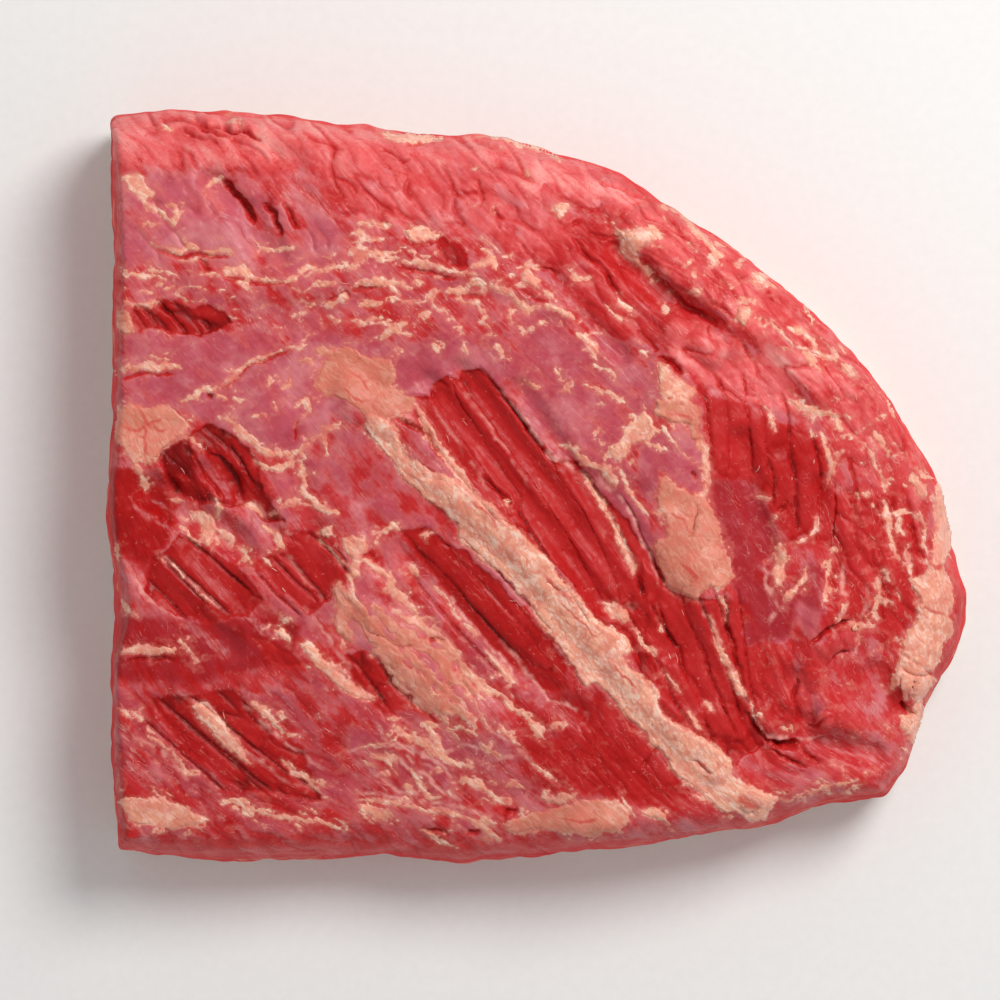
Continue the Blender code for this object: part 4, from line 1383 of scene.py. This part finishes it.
def crumbs_mesh(sizes):
    """Crumbs of fat and meat on the lean side, each a small lump."""
    draws = np.random.default_rng(sizes.seed + 1)
    tree = slab_tree()
    points, faces, reds = [], [], []
    ball = bmesh.new()
    bmesh.ops.create_icosphere(ball, subdivisions=2, radius=1)
    ball_points = np.array([point.co for point in ball.verts])
    ball_faces = [tuple(point.index for point in face.verts) for face in ball.faces]
    ball.free()
    for middle, reach, count in CRUMBS:
        for _ in range(count):
            found, normal = laid_on(tree, *spread(middle, reach, draws))
            size = draws.uniform(*CRUMB_RADII) * MM
            stretch = draws.uniform(0.5, 1.4, 3)
            seed = int(draws.integers(1, 900))
            red = draws.uniform(0, 1)
            if found is None or normal.z < CRUMB_UPRIGHT:
                continue
            bumps = 1 + 1.1 * solid_lumps(ball_points, 0.8, seed)
            middle_point = np.array(found + normal * 0.05 * size)
            lump = ball_points * bumps[:, None] * stretch * size + middle_point
            faces += [tuple(corner + len(points) for corner in face) for face in ball_faces]
            points += [tuple(point) for point in lump]
            reds += [red] * len(ball_points)
    mesh = mesh_from("crumbs", points, faces)
    store(mesh, "stain", np.array(reds))
    return mesh


class Value:
    """A value in a material's recipe. Python's operators on it add the Math nodes that work it out."""

    def __init__(self, recipe, socket):
        self.recipe = recipe
        self.socket = socket

    def maths(self, operation, *values):
        """The Math node's result for the values, this one's recipe holding the node."""
        return self.recipe.node("ShaderNodeMath", dict(enumerate(values)), operation=operation)

    def __add__(self, other):
        return self.maths("ADD", self, other)

    def __sub__(self, other):
        return self.maths("SUBTRACT", self, other)

    def __rsub__(self, other):
        return self.maths("SUBTRACT", other, self)

    def __mul__(self, other):
        return self.maths("MULTIPLY", self, other)

    def __truediv__(self, other):
        return self.maths("DIVIDE", self, other)

    def __abs__(self):
        return self.maths("ABSOLUTE", self)

    __radd__ = __add__
    __rmul__ = __mul__

    def at_most(self, other):
        """The smaller of the two."""
        return self.maths("MINIMUM", self, other)

    def at_least(self, other):
        """The larger of the two."""
        return self.maths("MAXIMUM", self, other)

    def line(self, middle, start, end):
        """1 where the value is the middle, falling to 0 from start to end away from it."""
        return 1 - abs(self - middle).rise(start, end)

    def rise(self, start, end):
        """0 at the start, 1 at the end and a smooth rise between them."""
        inputs = {"Value": self, "From Min": start, "From Max": end}
        return self.recipe.node("ShaderNodeMapRange", inputs, interpolation_type="SMOOTHSTEP")


class Recipe:
    """The nodes of one material."""

    def __init__(self, name):
        self.material = bpy.data.materials.new(name)
        self.material.use_nodes = True
        self.tree = self.material.node_tree
        self.tree.nodes.clear()

    def node(self, kind, inputs, output=0, stops=None, **settings):
        """Adds a node with its settings, then its inputs, each a value or a link, and gives one output."""
        made = self.tree.nodes.new(kind)
        for name, value in settings.items():
            setattr(made, name, value)
        if stops:
            ramp = made.color_ramp
            while len(ramp.elements) < len(stops):
                ramp.elements.new(1)
            for element, (position, color) in zip(ramp.elements, stops):
                element.position = position
                element.color = (*color, 1)
        for place, value in inputs.items():
            if isinstance(value, Value):
                self.tree.links.new(value.socket, made.inputs[place])
            else:
                made.inputs[place].default_value = value
        return Value(self, made.outputs[output])

    def read(self, name):
        """A value that the mesh keeps for each of its points."""
        return self.node("ShaderNodeAttribute", {}, output="Fac", attribute_name=name)

    def read_vector(self, name):
        """A vector that the mesh keeps for each of its points."""
        return self.node("ShaderNodeAttribute", {}, output="Vector", attribute_name=name)

    def stretched(self, vector, *scales):
        """The vector times a number for each axis."""
        return self.node("ShaderNodeVectorMath", {0: vector, 1: scales}, operation="MULTIPLY")

    def cloud(self, vector, detail=3, roughness=0.6, distortion=0.0):
        """Noise from 0 to 1 over the vector, mostly near 0.5."""
        settings = {"Vector": vector, "Scale": 1, "Detail": detail, "Roughness": roughness,
                    "Distortion": distortion}
        return self.node("ShaderNodeTexNoise", settings, output="Fac")

    def spots(self, scale, **settings):
        """Noise from 0 to 1 in space, about so many lumps to the metre."""
        place = self.node("ShaderNodeTexCoord", {}, output="Object")
        return self.cloud(self.stretched(place, scale, scale, scale), **settings)

    def strands(self, *scales, **settings):
        """Noise from 0 to 1, about so many lumps to the millimetre along the fibres, across them and up."""
        return self.cloud(self.stretched(self.read_vector("grain"), *scales), **settings)

    def mix(self, first, second, share):
        """A colour between the two."""
        colors = [value if isinstance(value, Value) else (*value, 1) for value in (first, second)]
        inputs = {0: share, 6: colors[0], 7: colors[1]}
        return self.node("ShaderNodeMix", inputs, output=2, data_type="RGBA")

    def ramp(self, value, *stops):
        """The colour that the stops give the value."""
        return self.node("ShaderNodeValToRGB", {"Fac": value}, output="Color", stops=stops)

    def bump(self, height, distance):
        """A normal that follows the height, which is a share of the distance."""
        return self.node("ShaderNodeBump", {"Height": height, "Distance": distance}, output="Normal")

    def finish(self, **sockets):
        """Ends the recipe with one shader and gives the material."""
        inputs = {}
        for name, value in sockets.items():
            inputs[name.replace("_", " ").title().replace("Ior", "IOR")] = value
        shader = self.node("ShaderNodeBsdfPrincipled", inputs, subsurface_method="RANDOM_WALK")
        self.node_output(shader)
        return self.material

    def node_output(self, shader):
        """Links the shader to the material's output."""
        end = self.tree.nodes.new("ShaderNodeOutputMaterial")
        self.tree.links.new(shader.socket, end.inputs["Surface"])


def shared_noise(recipe):
    """The mottle, clouds, wrinkles and contours that meat and fat have alike."""
    mottle = recipe.spots(210, detail=3)
    clouds = recipe.spots(75, detail=3, distortion=0.25)
    wrinkles = recipe.strands(0.2, 0.55, 0.45, detail=4, distortion=1.4)
    contours = recipe.strands(0.06, 0.34, 0.26, detail=2, distortion=0.5)
    return mottle, clouds, wrinkles, contours


def meat_material(colors):
    """Raw muscle with film, marbling and fibres, and fat on its underside."""
    recipe = Recipe("raw_meat")
    tone, film, bundles = (recipe.read(name) for name in ("tone", "film", "bundles"))
    wall = recipe.read("wall")
    noises = shared_noise(recipe)
    mottle, clouds, _, contours = noises
    fibres = recipe.strands(0.035, 0.6, 0.4, detail=2)
    threads = recipe.strands(0.11, 1.6, 1.0, detail=2)
    blotches = recipe.spots(120, detail=3)
    specks = recipe.spots(800, detail=1)

    patch = (film + (threads - 0.5) * 0.4 + (blotches - 0.5) * 0.7).rise(-0.15, 0.22) * (1 - wall)
    haze = (film + 0.45 + (clouds - 0.5) * 1.2).rise(0, 1.0)
    veil = (patch * 0.44 + haze * 0.33) * (1 - 0.9 * wall)
    bare = 1 - 0.7 * veil
    lightness = tone + (fibres - 0.5) * (0.35 + 0.5 * bundles) * bare + (threads - 0.5) * 0.35 * bare
    lightness = lightness - 0.06 + (blotches - 0.5) * (1.1 - 0.7 * bundles) + (specks - 0.5) * 0.4
    # Painted shade in the hollows, and the sides painted lighter to make up for the shade they lie in.
    lightness = lightness - 0.3 * recipe.read("hollow_shade") + 0.35 * wall
    crack = contours.line(0.5, 0, 0.014) * blotches.rise(0.42, 0.55) * bare
    muscle = recipe.ramp(
        (lightness - 0.5 * crack + 1.6) / 3.2,
        (0.0, DARKEST_LEAN),
        (0.25, colors.deep),
        (0.5, colors.red),
        (0.63, BRIGHT_LEAN),
        (0.76, colors.coral),
        (1.0, PALEST_LEAN),
    )
    muscle = recipe.mix(muscle, SIDE_RED, wall * (0.75 - 0.6 * tone.rise(0.3, 0.9)))

    light = lightness.rise(-0.8, 0.5)
    veiled = recipe.mix(muscle, recipe.mix(DARK_FILM, colors.film, light), veil)
    # A painted sheen on the lighter film, in the light parts of the clouds.
    strength = 0.1 + 0.5 * patch + 0.2 * (fibres - 0.5)
    sheen = clouds.rise(0.45, 0.68) * light * (1 - 0.8 * bundles) * strength
    veiled = recipe.mix(veiled, FILM_SHEEN, sheen)
    # A pale line along the film's edge: the thin edge of the membrane, with a painted glint on it.
    veiled = recipe.mix(veiled, FILM_EDGE, patch * (1 - patch) * light)

    color = marbled_color(recipe, colors, veiled, noises, threads, blotches, specks)
    color = walled_color(recipe, colors, color, clouds, mottle, blotches)
    height = blotches * 0.8 + fibres * 0.5 + threads * (0.12 + 0.2 * bundles)
    return recipe.finish(
        base_color=color,
        roughness=0.31 + (mottle - 0.5) * 0.5 + 0.1 * bundles + 0.65 * wall,
        normal=recipe.bump(height, 0.35 * MM),
        ior=1.26,
    )


def marbled_color(recipe, colors, veiled, noises, threads, blotches, specks):
    """The veiled muscle with flecks and hairs of fat, membranes, and the fat that is only skin deep."""
    _, clouds, wrinkles, contours = noises
    marbling = recipe.read("marbling")
    level = recipe.read("level") + (blotches - 0.5) * 1.6 + (specks - 0.5) * 1.2
    fat = fat_color(recipe, colors, level, noises)
    fleck = wrinkles.rise(0.60, 0.65) * (marbling * 0.9).at_most(1) * 0.6
    hair = contours.line(0.57, 0, 0.011) * clouds.rise(0.48, 0.58) * (0.15 + marbling).at_most(0.6)
    # Sparse pale dots: flecks of fat and painted glints.
    dots = specks.rise(0.73, 0.77) * 0.25
    skin = recipe.read("membrane") * (1.3 + (threads - 0.5) * 2.5 + (specks - 0.5) * 1.5)
    marbled = recipe.mix(veiled, PALE_FIBRE, fleck.at_least(dots).at_least(hair))
    marbled = recipe.mix(marbled, PALE_MEMBRANE, skin.at_most(0.8))
    return recipe.mix(marbled, fat, (level.rise(-1.4, 0.2) * 0.35).at_least(level.rise(-0.25, 0.15)))


def walled_color(recipe, colors, color, clouds, mottle, blotches):
    """The colour with the seams of fat on the sides and the fat cap at their foot and underneath."""
    wall = recipe.read("wall")
    cap = recipe.read("cap")
    place = recipe.node("ShaderNodeTexCoord", {}, output="Object")
    layers = recipe.cloud(recipe.stretched(place, 12, 12, 75), detail=3)
    seam = layers.line(0.5, 0.004, 0.03) * clouds.rise(0.42, 0.58) * wall
    seamed = recipe.mix(color, colors.cream, seam * 0.65)
    cap_fat = recipe.ramp(0.5 * mottle + 0.5 * clouds, *CAP_STOPS)
    return recipe.mix(seamed, cap_fat, (cap + (blotches - 0.5) * 0.9 * cap).rise(0.25, 0.75))


def fat_color(recipe, colors, level, noises):
    """The colour of fat: cream or orange with painted highlights on its wrinkles, pink near its edge and red
    where blood stains it.
    """
    mottle, clouds, wrinkles, contours = noises
    peach = recipe.read("peach") + (mottle - 0.5) * 1.4 + (clouds - 0.5) * 1.8 + (wrinkles - 0.5) * 0.6
    orange = peach.rise(0.0, 1.0)
    fat = recipe.mix(colors.cream, colors.peach, orange)
    # Painted highlights on the crests of the wrinkles.
    fat = recipe.mix(fat, colors.highlight_white, wrinkles.rise(0.46, 0.58) * (1 - 0.8 * orange) * 0.85)
    fat = recipe.mix(fat, FAT_MOTTLE, (1 - mottle).rise(0.46, 0.60) * 0.5)
    pink = (1 - (level + (mottle - 0.5) * 2.2).rise(-0.3, 0.8)) * 0.7
    fat = recipe.mix(fat, FAT_EDGE, pink)
    fat = recipe.mix(fat, FAT_VEIN, contours.line(0.47, 0, 0.014) * mottle.rise(0.42, 0.54) * 0.6)
    stain = recipe.read("stain")
    return recipe.mix(fat, BLOOD, (stain + (mottle - 0.5) * stain * 1.6).rise(0.15, 0.95) * 0.85)


def fat_material(colors):
    """Fat with a fine uneven skin."""
    recipe = Recipe("beef_fat")
    noises = shared_noise(recipe)
    mottle, _, wrinkles, _ = noises
    return recipe.finish(
        base_color=fat_color(recipe, colors, recipe.read("level"), noises),
        roughness=0.42 + (mottle - 0.5) * 0.4,
        normal=recipe.bump(wrinkles + 0.6 * mottle, 0.11 * MM),
        subsurface_weight=0.25,
        subsurface_radius=(1.0, 0.5, 0.32),
        subsurface_scale=1.2 * MM,
        ior=1.34,
    )


def shred_material():
    """Fine loose fibres, pale pink and moist."""
    recipe = Recipe("fibre")
    return recipe.finish(
        base_color=recipe.ramp(recipe.spots(160, detail=2), *FIBRE_STOPS),
        roughness=0.3,
        subsurface_weight=0.3,
        subsurface_radius=(1.0, 0.4, 0.3),
        subsurface_scale=0.8 * MM,
    )


def crumb_material(colors):
    """Crumbs, some of fat and some of meat."""
    recipe = Recipe("crumb")
    mottle = recipe.spots(400, detail=3)
    meaty = (recipe.read("stain") + (mottle - 0.5) * 0.8).rise(0.45, 0.75)
    return recipe.finish(
        base_color=recipe.mix(colors.cream, CRUMB_RED, meaty),
        roughness=0.35,
        normal=recipe.bump(mottle, 0.3 * MM),
        subsurface_weight=0.3,
        subsurface_radius=(1.0, 0.5, 0.35),
        subsurface_scale=1.0 * MM,
    )


def size_property(name, description, default):
    """A length in metres that a user may change."""
    return FloatProperty(name=name, description=description, default=default, unit="LENGTH",
                         precision=4)


def color_property(name, description, default):
    """A colour that a user may change."""
    return FloatVectorProperty(name=name, description=description, default=default, size=3,
                               subtype="COLOR", min=0, max=1)


class BRISKET_PG_meat(bpy.types.PropertyGroup):
    """Sizes of the slab's surface."""

    cell: size_property("Cell", "Distance between points on the lean side", 0.5 * MM)
    cap_height: size_property("Fat cap", "Height of the fat above the underside, on the walls", 7 * MM)
    relief: FloatProperty(name="Relief", description="How strong the lean side's relief is", default=1.0,
                          subtype="FACTOR")


class BRISKET_PG_fat(bpy.types.PropertyGroup):
    """Sizes of the fat and of what lies loose."""

    cell: size_property("Cell", "Distance between the points of the fat", 0.36 * MM)
    edge: size_property("Edge", "How far the sheet of fat runs on under the meat", 0.7 * MM)
    seed: IntProperty(name="Seed", description="Seed of the loose fibres and crumbs", default=5)


class BRISKET_PG_colors(bpy.types.PropertyGroup):
    """Colours of the meat and the fat."""

    deep: color_property("Deep", "Red of bare bundles and hollows", (0.42, 0.006, 0.006))
    red: color_property("Red", "Red of the lean", (0.53, 0.020, 0.021))
    coral: color_property("Coral", "Light red of the rim", (0.74, 0.117, 0.118))
    film: color_property("Film", "Lilac film over the muscle", (0.51, 0.112, 0.160))
    cream: color_property("Cream", "Pale fat", (0.86, 0.38, 0.26))
    peach: color_property("Peach", "Orange fat", (0.63, 0.185, 0.12))
    highlight_white: color_property("White", "Lightest fat", (0.93, 0.64, 0.52))


class BRISKET_PG_stage(bpy.types.PropertyGroup):
    """Sizes of the camera, the lights and the floor."""

    camera_height: size_property("Camera height", "Height of the camera over the floor", 1.8)
    outline_height: size_property("Outline height", "Height at which the slab's outline is widest", 24 * MM)
    floor_size: size_property("Floor", "Side of the floor", 6.0)
    key_power: FloatProperty(name="Key", description="Power of the soft light at the top right", default=16.1,
                             unit="POWER")
    sky: FloatProperty(name="Sky", description="Brightness of the light from all round", default=0.475)


class BRISKET_OT_slab(bpy.types.Operator):
    """Dress the slab of meat"""

    bl_idname = "brisket.slab"
    bl_label = "Slab of meat"

    def execute(self, context):
        mesh = dressed_slab(context.scene.brisket_meat)
        slab = new_piece("lean_slab", mesh, meat_material(context.scene.brisket_colors))
        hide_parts("brisket")
        return {"FINISHED"}


class BRISKET_OT_fat(bpy.types.Operator):
    """Lay the seams, patches and strands of fat on the meat"""

    bl_idname = "brisket.fat"
    bl_label = "Seams of fat"

    def execute(self, context):
        mesh = dressed_fat(context.scene.brisket_fat)
        new_piece("fat_seams", mesh, fat_material(context.scene.brisket_colors))
        return {"FINISHED"}


class BRISKET_OT_loose(bpy.types.Operator):
    """Strew the loose fibres and the crumbs"""

    bl_idname = "brisket.loose"
    bl_label = "Loose fibres and crumbs"

    def execute(self, context):
        sizes = context.scene.brisket_fat
        new_piece("loose_fibres", shreds_mesh(sizes), shred_material())
        new_piece("crumbs", crumbs_mesh(sizes), crumb_material(context.scene.brisket_colors))
        return {"FINISHED"}


class BRISKET_OT_stage(bpy.types.Operator):
    """Set up the floor, the soft lights and the camera"""

    bl_idname = "brisket.stage"
    bl_label = "Stage"

    def execute(self, context):
        sizes = context.scene.brisket_stage
        add_floor(sizes)
        add_lights(sizes)
        add_camera(sizes)
        context.scene.view_settings.view_transform = "Standard"
        return {"FINISHED"}


def add_floor(sizes):
    """A plain pale floor under the meat."""
    half = sizes.floor_size / 2
    corners = [(-half, -half, 0), (half, -half, 0), (half, half, 0), (-half, half, 0)]
    mesh = mesh_from("floor", corners, [(0, 1, 2, 3)])
    recipe = Recipe("pale_floor")
    shade = recipe.mix(FLOOR_DARK, FLOOR_LIGHT, recipe.spots(300, detail=2))
    mesh.materials.append(recipe.finish(base_color=shade, roughness=0.8))
    floor = bpy.data.objects.new("floor", mesh)
    bpy.context.scene.collection.objects.link(floor)


def add_lights(sizes):
    """A large soft key light at the top right and an even sky."""
    light = bpy.data.lights.new("key", "AREA")
    light.shape = "DISK"
    light.size = 0.7
    light.energy = sizes.key_power
    light.color = (1.0, 0.985, 0.96)
    key = bpy.data.objects.new("key", light)
    key.location = (0.62, 0.68, 1.15)
    key.rotation_euler = (-key.location).to_track_quat("-Z", "Y").to_euler()
    bpy.context.scene.collection.objects.link(key)
    world = bpy.data.worlds.new("sky")
    world.use_nodes = True
    background = world.node_tree.nodes["Background"]
    background.inputs["Color"].default_value = (1.0, 0.99, 0.98, 1)
    background.inputs["Strength"].default_value = sizes.sky
    bpy.context.scene.world = world


def add_camera(sizes):
    """The camera straight above the slab, as in the photo."""
    camera = bpy.data.cameras.new("camera")
    depth = sizes.camera_height - sizes.outline_height
    camera.lens = camera.sensor_width * depth / (1000 * MM_PER_PIXEL * MM)
    holder = bpy.data.objects.new("camera", camera)
    holder.location = (*under_pixels(*PHOTO_MIDDLE, sizes.outline_height), sizes.camera_height)
    bpy.context.scene.collection.objects.link(holder)
    bpy.context.scene.camera = holder


class BRISKET_PT_panel(bpy.types.Panel):
    """Lists the steps that dress the brisket, with their sizes"""

    bl_idname = "BRISKET_PT_panel"
    bl_label = "Raw beef brisket"
    bl_space_type = "VIEW_3D"
    bl_region_type = "UI"
    bl_category = "Brisket"

    def draw(self, context):
        for name, (_, operators) in STEPS.items():
            box = self.layout.box()
            group = getattr(context.scene, name)
            for key in group.bl_rna.properties.keys():
                if key not in ("rna_type", "name"):
                    box.prop(group, key)
            for operator in operators:
                box.operator(operator.bl_idname)


# Each group of settings with the name that the scene keeps it under, and the operators that it is for.
STEPS = {
    "brisket_colors": (BRISKET_PG_colors, ()),
    "brisket_stage": (BRISKET_PG_stage, (BRISKET_OT_stage,)),
    "brisket_meat": (BRISKET_PG_meat, (BRISKET_OT_slab,)),
    "brisket_fat": (BRISKET_PG_fat, (BRISKET_OT_fat, BRISKET_OT_loose)),
}
CLASSES = [group for group, _ in STEPS.values()]
CLASSES += [operator for _, operators in STEPS.values() for operator in operators]
CLASSES.append(BRISKET_PT_panel)


def register():
    """Adds the settings, the operators and the panel."""
    for kind in CLASSES:
        bpy.utils.register_class(kind)
    for name, (group, _) in STEPS.items():
        setattr(bpy.types.Scene, name, PointerProperty(type=group))


def unregister():
    """Takes the settings, the operators and the panel away."""
    for name in STEPS:
        delattr(bpy.types.Scene, name)
    for kind in reversed(CLASSES):
        bpy.utils.unregister_class(kind)


def main():
    """Builds the scene."""
    register()
    bpy.ops.brisket.stage()
    bpy.ops.brisket.slab()
    bpy.ops.brisket.fat()
    bpy.ops.brisket.loose()


if __name__ == "__main__":
    main()
